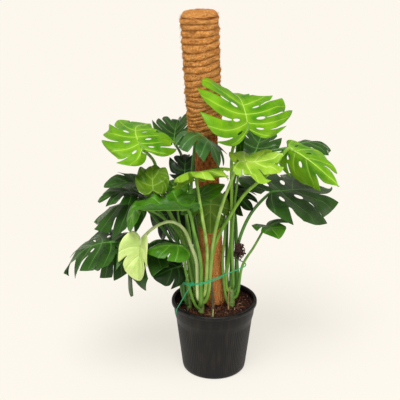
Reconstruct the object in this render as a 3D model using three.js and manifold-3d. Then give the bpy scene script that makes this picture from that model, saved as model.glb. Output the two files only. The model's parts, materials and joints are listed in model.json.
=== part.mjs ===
// A potted Swiss cheese plant: a nursery pot, a coir pole and thirty-odd leaves on long stalks.
// Millimetres, +Z up, +X to the right, -Y to the front. The origin is under the middle of the pot.
import * as THREE from 'three';
import Module from 'manifold-3d';

const wasm = await Module();
wasm.setup();
const { Manifold, Mesh: Net } = wasm;

// Driving sizes
const CLEAR = 0.3;
const POT_HEIGHT = 212;
const POT_RIM_RADIUS = 120;
const POT_BASE_RADIUS = 88;
const POT_WALL = 2.2;
const SOIL_TOP = 198;
const POLE_FOOT = [6, 5, 60];
const POLE_TOP = [-43, 20, 1013];
const COIR_RADIUS = 32;
const STAKE_RADIUS = 15;
const SLEEVE_RADIUS = 48;
const SLEEVE_LENGTH = 322;
const BLADE_THICKNESS = 1.0;
const STALK_RADIUS = 4.8;
const TWINE_RADIUS = 1.3;

// The short woody stems in the soil: foot, top and radius
const STEMS = {
  front: { foot: [-38, -62, 168], top: [-36, -60, 263], radius: 9 },
  right: { foot: [50, -26, 168], top: [47, -24, 261], radius: 9 },
  left: { foot: [-68, -40, 168], top: [-72, -34, 252], radius: 8 },
  back: { foot: [-28, 58, 168], top: [-32, 60, 271], radius: 9 },
};

// How deep the edge is cut between lobes, counted from the stalk to the tip; 1 is uncut
const CUTS = {
  deep4: [0.58, 0.5, 0.5, 0.55],
  deep3: [0.6, 0.52, 0.55],
  pair: [0.55, 1, 0.45],
  single: [1, 0.6, 1],
  none: [1, 1, 1],
};

// One row a leaf. at: where the stalk meets the blade. turn: azimuth, rise and roll of the midrib.
// fold and droop: the left and right half. hole: width of the holes by the midrib, 0 for none.
// stem, side and height: where the stalk leaves its stem. via: points the stalk passes.
const LEAVES = {
  crown: {
    at: [78, -142, 747], turn: [128, 79, -22], length: 158, width: 1.5, arch: 108,
    fold: [38, -8], droop: [14, 2], cuts: 'deep4', hole: 0.26, tone: 'lime',
    stem: 'right', side: 172, height: 241,
    via: [[44, -30, 405], [44, -44, 510], [42, -54, 635], [45, -74, 678]],
  },
  left_lime: {
    at: [-187, -90, 680], turn: [126, 33, -62], length: 191, width: 0.91, arch: 94,
    fold: [52, -51], droop: [2, 28], cuts: 'deep4', hole: 0.22, tone: 'lime',
    stem: 'left', side: 74, height: 242,
    via: [[-84, 2, 390], [-122, -46, 490], [-146, -40, 555], [-160, -6, 612]],
  },
  right_lime: {
    at: [186, -90, 682], turn: [-43, -13, 32], length: 165, width: 1.09, arch: 37,
    fold: [-30, -58], droop: [19, 42], cuts: 'pair', hole: 0.24, tone: 'lime',
    stem: 'front', side: 15, height: 253,
    via: [[0, -45, 395], [40, -60, 485], [80, -75, 555], [140, -85, 615]],
  },
  mid_lime: {
    at: [61, -129, 659], turn: [13, -15, 1], length: 112, width: 1.06, arch: -46,
    fold: [25, -13], droop: [29, 17], cuts: 'deep3', hole: 0, tone: 'yellow',
    stem: 'front', side: 338, height: 226, via: [[-5, -85, 420], [15, -105, 525], [40, -120, 605]],
  },
  grey: {
    at: [-47, -70, 715], turn: [-44, -6, -21], length: 127, width: 1.11, arch: 60,
    fold: [-4, 3], droop: [14, 50], cuts: 'deep3', hole: 0, tone: 'glossy',
    stem: 'front', side: 75, height: 240,
    via: [[-50, -22, 345], [-60, -12, 440], [-64, -14, 540], [-58, -45, 635]],
  },
  pale_under: {
    at: [-51, -97, 605], turn: [-73, 50, 40], length: 131, width: 1.1, arch: 90,
    fold: [-20, 40], droop: [20, 20], cuts: 'deep3', hole: 0, tone: 'yellow',
    stem: 'front', side: 300, height: 246, via: [[-22, -112, 400], [-36, -160, 530]],
  },
  back_left: {
    at: [-111, 70, 652], turn: [87, 30, -9], length: 118, width: 1.05, arch: 22,
    fold: [40, 35], droop: [-5, -5], cuts: 'deep4', hole: 0, tone: 'dark',
    stem: 'back', side: 96, height: 252, via: [[-46, 100, 350], [-70, 134, 480], [-92, 132, 590]],
  },
  right_dark: {
    at: [153, -10, 534], turn: [42, -9, 32], length: 260, width: 0.88, arch: 3,
    fold: [-8, 15], droop: [12, 12], cuts: 'deep3', hole: 0.3, tone: 'dark',
    stem: 'right', side: 358, height: 241, via: [[61, -28, 370], [78, -50, 450], [103, -42, 495]],
  },
  far_left: {
    at: [-263, -60, 409], turn: [172, 0, 15], length: 184, width: 1.06, arch: 62,
    fold: [-20, 22], droop: [12, 12], cuts: 'deep4', hole: 0.25, tone: 'dark',
    stem: 'back', side: 202, height: 238, via: [[-125, 55, 295], [-185, 35, 360], [-230, -15, 395]],
  },
  pale_new: {
    at: [-194, -120, 438], turn: [-115, -74, -3], length: 110, width: 1, arch: 10,
    fold: [45, 38], droop: [-10, -10], cuts: 'single', hole: 0, tone: 'pale',
    stem: 'front', side: 235, height: 236,
    via: [[-50, -88, 365], [-66, -98, 420], [-80, -104, 460], [-98, -106, 480], [-122, -108, 487], [-160, -112, 472]],
  },
  right_back: {
    at: [114, 104, 610], turn: [72, 30, 4], length: 112, width: 1.05, arch: 20,
    fold: [24, 20], droop: [10, 10], cuts: 'deep3', hole: 0, tone: 'dark',
    stem: 'right', side: 95, height: 247, via: [[52, 40, 400], [56, 98, 530], [84, 118, 596]],
  },
  right_far: {
    at: [212, 54, 641], turn: [8, 28, 4], length: 120, width: 1.05, arch: 70,
    fold: [-1, 4], droop: [30, 30], cuts: 'deep3', hole: 0, tone: 'dark',
    stem: 'right', side: 52, height: 226,
    via: [[60, 20, 400], [56, 85, 540], [88, 70, 599], [150, 54, 628]],
  },
  right_low: {
    at: [139, -30, 445], turn: [-70, 10, -1], length: 84, width: 1.05, arch: 24,
    fold: [30, 18], droop: [9, 9], cuts: 'single', hole: 0, tone: 'fresh',
    stem: 'right', side: 335, height: 221, via: [[76, -38, 330], [107, -34, 385]],
  },
  low_a: {
    at: [-254, 40, 348], turn: [180, -20, -33], length: 130, width: 1.05, arch: 46,
    fold: [-4, 12], droop: [30, 30], cuts: 'deep3', hole: 0, tone: 'dark',
    stem: 'back', side: 226, height: 218, via: [[-140, 40, 296], [-205, 48, 340]],
  },
  low_b: {
    at: [-154, -36, 404], turn: [203, -10, 10], length: 195, width: 0.98, arch: 95,
    fold: [-6, -18], droop: [24, 24], cuts: 'deep3', hole: 0, tone: 'dark',
    stem: 'left', side: 198, height: 218, via: [[-97, -40, 300], [-124, -12, 382]],
  },
  left_top: {
    at: [-202, -30, 566], turn: [193, 11, -3], length: 95, width: 1, arch: 22,
    fold: [18, 22], droop: [15, 15], cuts: 'single', hole: 0, tone: 'dark',
    stem: 'left', side: 165, height: 230, via: [[-96, -16, 374], [-135, -30, 505]],
  },
  left_mid: {
    at: [-214, -22, 540], turn: [199, 13, -14], length: 106, width: 1.02, arch: 51,
    fold: [19, 3], droop: [36, 36], cuts: 'deep3', hole: 0, tone: 'dark',
    stem: 'back', side: 205, height: 248, via: [[-100, 50, 355], [-155, -48, 500]],
  },
  left_low: {
    at: [-209, -25, 516], turn: [160, -15, -12], length: 165, width: 1.05, arch: 34,
    fold: [-12, -6], droop: [20, 20], cuts: 'deep3', hole: 0, tone: 'dark',
    stem: 'left', side: 111, height: 215, via: [[-103, 12, 345], [-155, -5, 445]],
  },
  left_small: {
    at: [-204, -115, 533], turn: [223, -50, 15], length: 70, width: 1, arch: 29,
    fold: [20, 10], droop: [26, 26], cuts: 'none', hole: 0, tone: 'fresh',
    stem: 'front', side: 178, height: 250, via: [[-95, -64, 430], [-150, -90, 500]],
  },
  olive: {
    at: [-160, -114, 577], turn: [98, 46, -8], length: 88, width: 0.98, arch: 40,
    fold: [34, 30], droop: [14, 16], cuts: 'none', hole: 0, tone: 'olive',
    stem: 'left', side: 262, height: 237, via: [[-92, -40, 410], [-130, -68, 510]],
  },
  edge: {
    at: [-72, -150, 539], turn: [186, -5, -4], length: 142, width: 0.9, arch: -20,
    fold: [44, 32], droop: [4, 4], cuts: 'single', hole: 0, tone: 'fresh',
    stem: 'front', side: 266, height: 218, via: [[-37, -90, 302], [-38, -112, 370], [-55, -160, 480]],
  },
  inner: {
    at: [-76, -91, 529], turn: [10, 30, 4], length: 113, width: 0.93, arch: 4,
    fold: [5, 3], droop: [-8, -8], cuts: 'single', hole: 0, tone: 'fresh',
    stem: 'front', side: 140, height: 224, via: [[-58, -50, 335], [-68, -68, 435]],
  },
  inner_top: {
    at: [-104, -16, 540], turn: [114, 34, 4], length: 72, width: 1, arch: 60,
    fold: [30, 24], droop: [14, 18], cuts: 'single', hole: 0, tone: 'fresh',
    stem: 'left', side: 30, height: 220, via: [[-74, -30, 380], [-98, -48, 475]],
  },
  small_front: {
    at: [-87, -125, 425], turn: [194, 17, -3], length: 98, width: 1, arch: 39,
    fold: [0, 2], droop: [40, 40], cuts: 'single', hole: 0, tone: 'fresh',
    stem: 'front', side: 198, height: 208, via: [[-78, -97, 335]],
  },
  small_low: {
    at: [-93, -80, 348], turn: [225, 6, -30], length: 90, width: 1.02, arch: 24,
    fold: [-18, -2], droop: [46, 46], cuts: 'single', hole: 0, tone: 'deep',
    stem: 'left', side: 237, height: 208, via: [[-86, -66, 298]],
  },
  back_a: {
    at: [-104, 98, 470], turn: [214, -46, -18], length: 135, width: 1, arch: 46,
    fold: [14, 12], droop: [28, 28], cuts: 'deep3', hole: 0, tone: 'deep',
    stem: 'back', side: 140, height: 222, via: [[-74, 84, 330], [-96, 100, 410]],
  },
  back_b: {
    at: [-54, 162, 404], turn: [244, -55, -25], length: 118, width: 1, arch: 32,
    fold: [-10, -4], droop: [30, 30], cuts: 'deep3', hole: 0, tone: 'deep',
    stem: 'back', side: 78, height: 232, via: [[-34, 116, 330]],
  },
  pole_front: {
    at: [-12, -34, 520], turn: [-95, -86, 0], length: 96, width: 0.95, arch: -4,
    fold: [2, 2], droop: [6, 6], cuts: 'single', hole: 0, tone: 'olive',
    stem: 'right', side: 215, height: 202, via: [[22, -30, 330], [28, -20, 440], [14, -23, 516]],
  },
  right_inner: {
    at: [42, 12, 534], turn: [-61, -8, 30], length: 102, width: 1, arch: 27,
    fold: [-2, -20], droop: [55, 55], cuts: 'deep3', hole: 0, tone: 'deep',
    stem: 'right', side: 128, height: 216, via: [[35, 47, 385]],
  },
  top_dark: {
    at: [-82, 66, 558], turn: [92, 58, -13], length: 84, width: 1, arch: 60,
    fold: [30, 26], droop: [10, 12], cuts: 'deep3', hole: 0, tone: 'deep',
    stem: 'back', side: 285, height: 252, via: [[-70, 10, 385], [-80, 15, 485]],
  },
  furled: {
    at: [65, -25, 634], turn: [80, 70, 0], length: 78, width: 0.8, arch: 15,
    fold: [62, 58], droop: [-30, -30], cuts: 'none', hole: 0, tone: 'fresh',
    stem: 'right', side: 285, height: 254, via: [[46, -50, 410], [52, -46, 515], [60, -38, 590]],
  },
};

const TONES = {
  lime: '#79b52a',
  yellow: '#a3c64a',
  pale: '#cfdc93',
  fresh: '#4c8a2c',
  olive: '#75823a',
  glossy: '#3f6f3c',
  dark: '#2f5f2b',
  deep: '#1f4520',
};

const part = new THREE.Group();
part.name = 'potted_swiss_cheese_plant';

const radians = (degrees) => (degrees * Math.PI) / 180;
const clamp = (x, low, high) => Math.min(high, Math.max(low, x));
const vec = (p) => new THREE.Vector3(...p);

// Helpers that turn point and triangle lists into solids and solids into named meshes

// Corners closer than a hundredth of a millimetre become one corner
function weld(points, faces) {
  const seen = new Map();
  const kept = [];
  const index = points.map((p) => {
    const key = p.map((c) => Math.round(c * 100)).join(',');
    if (!seen.has(key)) {
      seen.set(key, kept.length);
      kept.push(p);
    }
    return seen.get(key);
  });
  const whole = faces
    .map((face) => face.map((i) => index[i]))
    .filter(([a, b, c]) => a !== b && b !== c && c !== a);
  return { points: kept, faces: whole };
}

// Faces that enclose a negative volume point inwards, so they are all turned round
function solid(points, faces) {
  const corner = (i) => vec(points[i]);
  const sixth = ([a, b, c]) => corner(a).dot(corner(b).cross(corner(c)));
  const volume = faces.reduce((sum, face) => sum + sixth(face), 0);
  const outward = volume < 0 ? faces.map(([a, b, c]) => [a, c, b]) : faces;
  const net = new Net({
    numProp: 3,
    vertProperties: Float32Array.from(points.flat()),
    triVerts: Uint32Array.from(outward.flat()),
  });
  return new Manifold(net);
}

function add(name, body, colour, roughness = 0.6) {
  const net = body.getMesh();
  const geometry = new THREE.BufferGeometry();
  geometry.setAttribute('position', new THREE.BufferAttribute(Float32Array.from(net.vertProperties), 3));
  geometry.setIndex([...net.triVerts]);
  geometry.computeVertexNormals();
  const material = new THREE.MeshStandardMaterial({ color: colour, roughness, metalness: 0 });
  const mesh = new THREE.Mesh(geometry, material);
  mesh.name = name;
  part.add(mesh);
}

// A skin over rings of points, closed at both ends by a fan
function loft(rings) {
  const sides = rings[0].length;
  const points = rings.flat();
  const faces = [];
  for (let r = 0; r + 1 < rings.length; r++) {
    for (let k = 0; k < sides; k++) {
      const a = r * sides + k;
      const b = r * sides + ((k + 1) % sides);
      faces.push([a, b, b + sides], [a, b + sides, a + sides]);
    }
  }
  for (const [ring, flip] of [[0, true], [rings.length - 1, false]]) {
    const centre = points.length;
    const mean = [0, 1, 2].map((c) => rings[ring].reduce((sum, p) => sum + p[c], 0) / sides);
    points.push(mean);
    for (let k = 0; k < sides; k++) {
      const a = ring * sides + k;
      const b = ring * sides + ((k + 1) % sides);
      faces.push(flip ? [centre, b, a] : [centre, a, b]);
    }
  }
  return solid(points, faces);
}

// A three.js geometry as a solid, once its doubled corners are one
function solidOf(geometry) {
  const place = geometry.attributes.position;
  const points = Array.from({ length: place.count }, (_, i) => [0, 1, 2].map((c) => place.getComponent(i, c)));
  const order = geometry.index ? [...geometry.index.array] : points.map((_, i) => i);
  const faces = [];
  for (let i = 0; i < order.length; i += 3) faces.push(order.slice(i, i + 3));
  const net = weld(points, faces);
  return solid(net.points, net.faces);
}

// A profile of [radius, height] turned about the vertical; it starts and ends on the axis
function turned(profile, sides, matrix = new THREE.Matrix4()) {
  const geometry = new THREE.LatheGeometry(profile.map((p) => new THREE.Vector2(...p)), sides);
  geometry.rotateX(Math.PI / 2);
  return solidOf(geometry.applyMatrix4(matrix));
}

// A round section drawn along a curve
function cordAlong(curve, radius, sides, steps) {
  const corners = Array.from({ length: sides }, (_, k) => {
    const a = (2 * Math.PI * k) / sides;
    return new THREE.Vector2(radius * Math.cos(a), radius * Math.sin(a));
  });
  const shape = new THREE.Shape(corners);
  return solidOf(new THREE.ExtrudeGeometry(shape, { steps, extrudePath: curve, bevelEnabled: false }));
}

// A tube along a smooth path; radius is a function of the share of its length
function tube(path, radius, sides, steps) {
  const curve = new THREE.CatmullRomCurve3(path.map(vec), false, 'centripetal');
  const rings = [];
  let side = new THREE.Vector3(1, 0, 0);
  for (let i = 0; i <= steps; i++) {
    const share = i / steps;
    const centre = curve.getPointAt(share);
    const along = curve.getTangentAt(share);
    side = side.clone().addScaledVector(along, -side.dot(along)).normalize();
    const up = along.clone().cross(side);
    const ring = [];
    for (let k = 0; k < sides; k++) {
      const a = (2 * Math.PI * k) / sides;
      const p = centre.clone();
      p.addScaledVector(side, radius(share) * Math.cos(a));
      p.addScaledVector(up, radius(share) * Math.sin(a));
      ring.push(p.toArray());
    }
    rings.push(ring);
  }
  return loft(rings);
}

// The leaf blade at unit length, flat: x along the midrib, y to the left

// Reach of the rim from the middle of the blade, every 22.5 degrees from the tip to the notch
const REACH = [0.7, 0.61, 0.56, 0.545, 0.55, 0.575, 0.59, 0.555, 0.3];
const MIDDLE = 0.3;

function smoothAt(table, x) {
  const place = clamp(x, 0, table.length - 1 - 1e-9);
  const i = Math.floor(place);
  const t = place - i;
  const [a, b, c, d] = [-1, 0, 1, 2].map((k) => table[clamp(i + k, 0, table.length - 1)]);
  const bend = (2 * a - 5 * b + 4 * c - d) * t * t + (3 * b - a - 3 * c + d) * t ** 3;
  return 0.5 * (2 * b + (c - a) * t + bend);
}

// The upper left lobe of the crown leaf is drawn out to a point: its share more of reach, at this
// many degrees from the tip and over this spread
const SPUR = { share: 0.12, at: 44, spread: 13 };
LEAVES.crown.spur = SPUR.share;

function rim(angle, width, spur = 0) {
  const degrees = (Math.abs(angle) * 180) / Math.PI;
  const drawn = 1 + spur * Math.exp(-(((degrees - SPUR.at) / SPUR.spread) ** 2));
  const reach = smoothAt(REACH, degrees / 22.5) * drawn;
  return [MIDDLE + reach * Math.cos(angle), width * reach * Math.sin(angle)];
}

// Directions and roots of the side veins, and of the borders between their lobes
function halfPlan(count) {
  const vein = [];
  const root = [];
  for (let k = 0; k < count; k++) {
    vein.push(radians(146 - 106 * (k / (count - 1)) ** 0.95));
    root.push(0.56 * (k / count) ** 1.3);
  }
  const between = (list) => list.slice(1).map((v, k) => (v + list[k]) / 2);
  return {
    vein,
    root,
    border: [radians(172), ...between(vein), vein.at(-1) * 0.62],
    borderRoot: [0, ...between(root), root.at(-1) + 0.1],
  };
}

// A vein or border leaves the midrib wide and bends towards the tip
function veinPoint(root, end, s) {
  const middleX = (root + end[0]) / 2 - 0.18 * Math.abs(end[1]);
  const middleY = end[1] / 2;
  const [a, b, c] = [(1 - s) ** 2, 2 * s * (1 - s), s * s];
  return [a * root + b * middleX + c * end[0], b * middleY + c * end[1]];
}

// Holes lie along the borders between these shares of a vein; their widths differ by side and border
const HOLE = { from: 0.2, to: 0.4, share: { 1: [0, 1, 0.75, 0.9], '-1': [0, 0.8, 1, 0.5] } };
const SLIT = 0.1;

// How far a lobe draws back from its border at s: round the hole and beyond the start of the cut
function gap(s, cut, hole) {
  const inHole = clamp((s - HOLE.from) / (HOLE.to - HOLE.from), 0, 1);
  const open = hole * Math.sqrt(Math.abs(Math.sin(Math.PI * inHole)));
  const slot = cut < 1 ? SLIT * clamp((s - cut) / (1 - cut), 0, 1) ** 0.35 : 0;
  return Math.max(open, slot);
}

// A lobe narrows to its end: from which share of its vein and by how much, at its lower edge,
// at its upper edge and at the tip of the leaf
const NARROW = { low: [0.7, 0.3], high: [0.86, 0.05], tip: [0.5, 1] };
const narrowing = (s, start, share) => share * clamp((s - start) / (1 - start), 0, 1) ** 2;
const kept = (s, cut, hole, [start, share]) =>
  (1 - gap(s, cut, hole)) * (1 - narrowing(s, start, cut < 1 ? share : 0));

// Past this share of a vein the lower corner of a lobe draws back and the upper corner reaches out
const STRETCH = { from: 0.62, low: -0.13, high: 0.08 };

// Height above the bent sheet: the blade swells between veins, the end of a lobe hangs by the
// square of s past its middle, and where its borders are cut free it turns about its own vein
const PUFF = 0.02;
const HANG = 0.3;
const TWIST = 0.06;
function relief(row, number, s, t, near, far) {
  const phase = radians(3 * row.turn[0]);
  const past = (cut) => (cut < 1 ? clamp((s - cut) / (1 - cut), 0, 1) : 0);
  const free = (past(near) * (1 - t) + past(far) * (1 + t)) / 2;
  const hang = HANG * (1 + 0.6 * Math.sin(phase + 1.3 * number) * free) * Math.max(0, s - 0.55) ** 2;
  const turn = TWIST * Math.cos(phase + 2.1 * number) * t * free;
  return turn - hang - PUFF * Math.sin(Math.PI * s) * (1 - t * t);
}

// Grids of flat points, one a lobe: s runs out along the vein and t across the lobe
function lobes(row, rows) {
  const cuts = CUTS[row.cuts];
  const count = cuts.length;
  const plan = halfPlan(count);
  const columns = [-1, 0, 1];
  const grids = [];
  const holeAt = (side, border) => (border > 0 && border < count ? row.hole * HOLE.share[side][border] : 0);
  for (const side of [1, -1]) {
    for (let i = 0; i < count; i++) {
      const near = i > 0 ? cuts[i - 1] : 1;
      const far = cuts[i];
      const grid = rows.map((s) => columns.map((t) => {
        const share = t < 0
          ? kept(s, near, holeAt(side, i), NARROW.low)
          : kept(s, far, holeAt(side, i + 1), NARROW.high);
        const w = Math.abs(t) * share;
        const k = t < 0 ? i : i + 1;
        const angle = plan.vein[i] + (plan.border[k] - plan.vein[i]) * w;
        const root = plan.root[i] + (plan.borderRoot[k] - plan.root[i]) * w;
        const cutHere = (t < 0 ? near : far) < 1;
        const stretch = cutHere ? 1 + (t < 0 ? STRETCH.low : STRETCH.high) * w : 1;
        const past = Math.max(0, s - STRETCH.from) / (1 - STRETCH.from);
        const reach = s + past * (stretch - 1);
        const [x, y] = veinPoint(root, rim(angle, row.width, side > 0 ? row.spur : 0), reach);
        return { x, y: side * y, lift: relief(row, grids.length, s, t, near, far) };
      }));
      grids.push({ grid, flip: side > 0 });
    }
  }
  const last = cuts.at(-1);
  const tip = rows.map((s) => columns.map((t) => {
    const w = Math.abs(t) * kept(s, last, 0, NARROW.tip);
    const [x, y] = veinPoint(plan.borderRoot.at(-1), rim(plan.border.at(-1) * w, row.width), s);
    return { x, y: Math.sign(t) * y, lift: relief(row, grids.length, s, t, last, last) };
  }));
  grids.push({ grid: tip, flip: false });
  return grids;
}

// The flat blade is bent: the midrib arches, the halves fold up from it and droop to their edges
function bent(row, { x, y, lift = 0 }) {
  const arch = radians(row.arch || 0.01);
  const ahead = Math.max(x, 0);
  const half = y >= 0 ? 0 : 1;
  const fold = radians(row.fold[half]);
  const droop = radians(row.droop[half] || 0.05) * 2;
  const out = Math.abs(y);
  const sideways = (Math.sin(fold) - Math.sin(fold - droop * out)) / droop;
  const height = (Math.cos(fold - droop * out) - Math.cos(fold)) / droop + lift;
  const along = x > 0 ? Math.sin(arch * ahead) / arch : x;
  return [
    along + Math.sin(arch * ahead) * height,
    y >= 0 ? sideways : -sideways,
    -(1 - Math.cos(arch * ahead)) / arch + Math.cos(arch * ahead) * height,
  ];
}

// Axes of a leaf: x along the midrib at the stalk, y to its left, z out of its upper face
function leafAxes([azimuth, rise, roll]) {
  const [a, p, r] = [azimuth, rise, roll].map(radians);
  const x = new THREE.Vector3(Math.cos(a) * Math.cos(p), Math.sin(a) * Math.cos(p), Math.sin(p));
  const level = new THREE.Vector3(-Math.sin(a), Math.cos(a), 0);
  const up = x.clone().cross(level);
  const y = level.multiplyScalar(Math.cos(r)).addScaledVector(up, Math.sin(r));
  return { x, y, z: x.clone().cross(y) };
}

function place(row, axes, [a, b, c]) {
  const p = vec(row.at);
  p.addScaledVector(axes.x, a * row.length);
  p.addScaledVector(axes.y, b * row.length);
  p.addScaledVector(axes.z, c * row.length);
  return p.toArray();
}

// The blade as a sheet of even thickness: an upper face, a lower face and a wall along every edge.
// rows are the shares of a vein with a row of corners; a plain or hidden leaf does with fewer
function blade(row, axes) {
  let rows = [0, 0.5, 0.75, 1];
  if (row.cuts === 'none' || row.cuts === 'single') rows = [0, 0.6, 1];
  if (row.tone === 'deep' && row.cuts === 'deep3') rows = [0, 0.5, 1];
  if (row.hole > 0) rows = [0, HOLE.from, 0.3, HOLE.to, 0.5, 0.75, 1];
  const points = [];
  const faces = [];
  for (const { grid, flip } of lobes(row, rows)) {
    const first = points.length;
    const wide = grid[0].length;
    for (const line of grid) {
      for (const spot of line) points.push(place(row, axes, bent(row, spot)));
    }
    for (let r = 0; r + 1 < grid.length; r++) {
      for (let k = 0; k + 1 < wide; k++) {
        const a = first + r * wide + k;
        const corners = [a, a + wide, a + wide + 1, a + 1];
        if (flip) corners.reverse();
        const [p, q, u, v] = corners;
        faces.push([p, q, u], [p, u, v]);
      }
    }
  }
  const sheet = weld(points, faces);
  const normals = sheet.points.map(() => new THREE.Vector3());
  for (const [a, b, c] of sheet.faces) {
    const ab = vec(sheet.points[b]).sub(vec(sheet.points[a]));
    const ac = vec(sheet.points[c]).sub(vec(sheet.points[a]));
    const n = ab.cross(ac).normalize();
    for (const i of [a, b, c]) normals[i].add(n);
  }
  const shift = (offset) => sheet.points.map((p, i) =>
    vec(p).addScaledVector(normals[i].clone().normalize(), offset).toArray());
  const count = sheet.points.length;
  const shell = sheet.faces.flatMap(([a, b, c]) => [[a, b, c], [c + count, b + count, a + count]]);
  const edges = new Set(sheet.faces.flatMap(([a, b, c]) => [`${a},${b}`, `${b},${c}`, `${c},${a}`]));
  for (const edge of edges) {
    const [a, b] = edge.split(',').map(Number);
    if (edges.has(`${b},${a}`)) continue;
    shell.push([b, a, a + count], [b, a + count, b + count]);
  }
  return solid([...shift(BLADE_THICKNESS / 2), ...shift(-BLADE_THICKNESS / 2)], shell);
}

// The stalk starts inside its stem, swings out and up, and runs on under the midrib
function stalk(row, axes, grow = 0) {
  const stem = STEMS[row.stem];
  const share = (row.height - stem.foot[2]) / (stem.top[2] - stem.foot[2]);
  const start = vec(stem.foot).lerp(vec(stem.top), share);
  const out = new THREE.Vector3(Math.cos(radians(row.side)), Math.sin(radians(row.side)), 0);
  const leave = start.clone().addScaledVector(out, stem.radius + 5);
  leave.z += 12;
  const under = (x) => {
    const [u, v, w] = bent(row, { x, y: 0 });
    return vec(place(row, axes, [u, v, w - (0.3 * STALK_RADIUS) / row.length]));
  };
  const path = [start.toArray(), leave.toArray(), ...row.via];
  path.push(under(0).toArray(), under(0.08).toArray(), under(0.16).toArray());
  const size = row.length > 100 ? 1 : 0.8;
  const radius = (t) => grow + size * STALK_RADIUS * (1.12 - 0.34 * t) * (t > 0.97 ? 0.6 : 1);
  const steps = 4 + 2 * row.via.length;
  return tube(path, radius, 6, steps);
}

const stemSolid = (stem, grow) => tube(
  [stem.foot, vec(stem.foot).lerp(vec(stem.top), 0.5).toArray(), stem.top],
  (t) => grow + stem.radius * (1 - 0.15 * t * t),
  8,
  3,
);

for (const [name, row] of Object.entries(LEAVES)) {
  const axes = leafAxes(row.turn);
  const stem = STEMS[row.stem];
  const body = blade(row, axes).add(stalk(row, axes)).subtract(stemSolid(stem, CLEAR));
  add(`leaf_${name}`, body, TONES[row.tone], 0.4);
}

for (const [name, stem] of Object.entries(STEMS)) {
  add(`stem_${name}`, stemSolid(stem, 0), '#5f8a3c', 0.6);
}

// Two old stalks stand dead in the soil before the pole, and a dry sheath beside the right stem
const REMAINS = {
  old_stalk: { path: [[-4, -46, 178], [-5, -47, 250], [-7, -48, 294]], radius: 5, colour: '#6b6247' },
  young_shoot: { path: [[-5, -86, 180], [-5, -88, 205], [-4, -89, 222]], radius: 3, colour: '#a8b86a' },
  dry_sheath: { path: [[40, -44, 178], [38, -43, 230], [41, -44, 268]], radius: 3, colour: '#b59a63' },
};
const remainSolid = ({ path, radius }, grow) => tube(path, (t) => grow + radius * (1 - 0.45 * t), 6, 3);
for (const [name, piece] of Object.entries(REMAINS)) {
  add(name, remainSolid(piece, 0), piece.colour, 0.8);
}

// The pole is built upright and then leans from its foot to its top
const poleAxis = vec(POLE_TOP).sub(vec(POLE_FOOT));
const POLE_LENGTH = poleAxis.length();
const lean = new THREE.Quaternion().setFromUnitVectors(new THREE.Vector3(0, 0, 1), poleAxis.clone().normalize());
const poleMatrix = new THREE.Matrix4().compose(vec(POLE_FOOT), lean, new THREE.Vector3(1, 1, 1));
const HEM = POLE_LENGTH - SLEEVE_LENGTH;
const CAP = 14;
const COIR_TOP = POLE_LENGTH - CAP;

// A plain round length of the pole, from one distance above its foot to another
const rod = (radius, from, to, sides = 14) =>
  turned([[0, from], [radius, from], [radius, to], [0, to]], sides, poleMatrix);

add('pole_stake', rod(STAKE_RADIUS, 2, COIR_TOP - 4, 12), '#8a6a42', 0.8);

// The lower coir is thin and uneven
const coirProfile = [[0, 0]];
for (let i = 0; i <= 8; i++) {
  coirProfile.push([COIR_RADIUS + 0.8 * Math.sin(2.4 * i), (COIR_TOP * i) / 8]);
}
coirProfile.push([0, COIR_TOP]);
const coirBore = rod(STAKE_RADIUS + CLEAR, -5, COIR_TOP + 5, 12);
add('pole_coir', turned(coirProfile, 14, poleMatrix).subtract(coirBore), '#a4582a', 1);

// The upper sleeve is coir wound in thick turns, a little wider at its rounded top
const TURNS = 9;
const sleeveProfile = [[0, HEM], [SLEEVE_RADIUS - 5, HEM]];
for (let i = 0; i < 2 * TURNS; i++) {
  const share = (i + 0.5) / (2 * TURNS);
  const groove = i % 2 ? -1.4 : 1.2;
  sleeveProfile.push([SLEEVE_RADIUS - 4 + 5 * share + groove, HEM + share * (SLEEVE_LENGTH - 12)]);
}
sleeveProfile.push([SLEEVE_RADIUS - 3, POLE_LENGTH - 5]);
sleeveProfile.push([SLEEVE_RADIUS - 12, POLE_LENGTH]);
sleeveProfile.push([0, POLE_LENGTH + 1]);
const sleeveBore = rod(COIR_RADIUS + 0.8 + CLEAR, HEM - 5, COIR_TOP + CLEAR);
add('pole_sleeve', turned(sleeveProfile, 14, poleMatrix).subtract(sleeveBore), '#b9763a', 1);

// The pot: a flat base, a tapered body, a collar and a rolled rim
const POT_FLOOR = 3;
const COLLAR_LOW = 168;
const COLLAR_HIGH = 200;
const BODY_TOP_RADIUS = POT_RIM_RADIUS - 12.5;
const COLLAR_RADIUS = POT_RIM_RADIUS - 7;
const potProfile = [
  [0, 0],
  [POT_BASE_RADIUS - 5, 0],
  [POT_BASE_RADIUS + 1.5, 10],
  [BODY_TOP_RADIUS, COLLAR_LOW],
  [COLLAR_RADIUS - 1.5, COLLAR_LOW + 5],
  [COLLAR_RADIUS, COLLAR_HIGH],
  [POT_RIM_RADIUS, COLLAR_HIGH + 1.5],
  [POT_RIM_RADIUS, POT_HEIGHT - 2],
  [POT_RIM_RADIUS - 2.5, POT_HEIGHT],
  [0, POT_HEIGHT],
];
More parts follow.
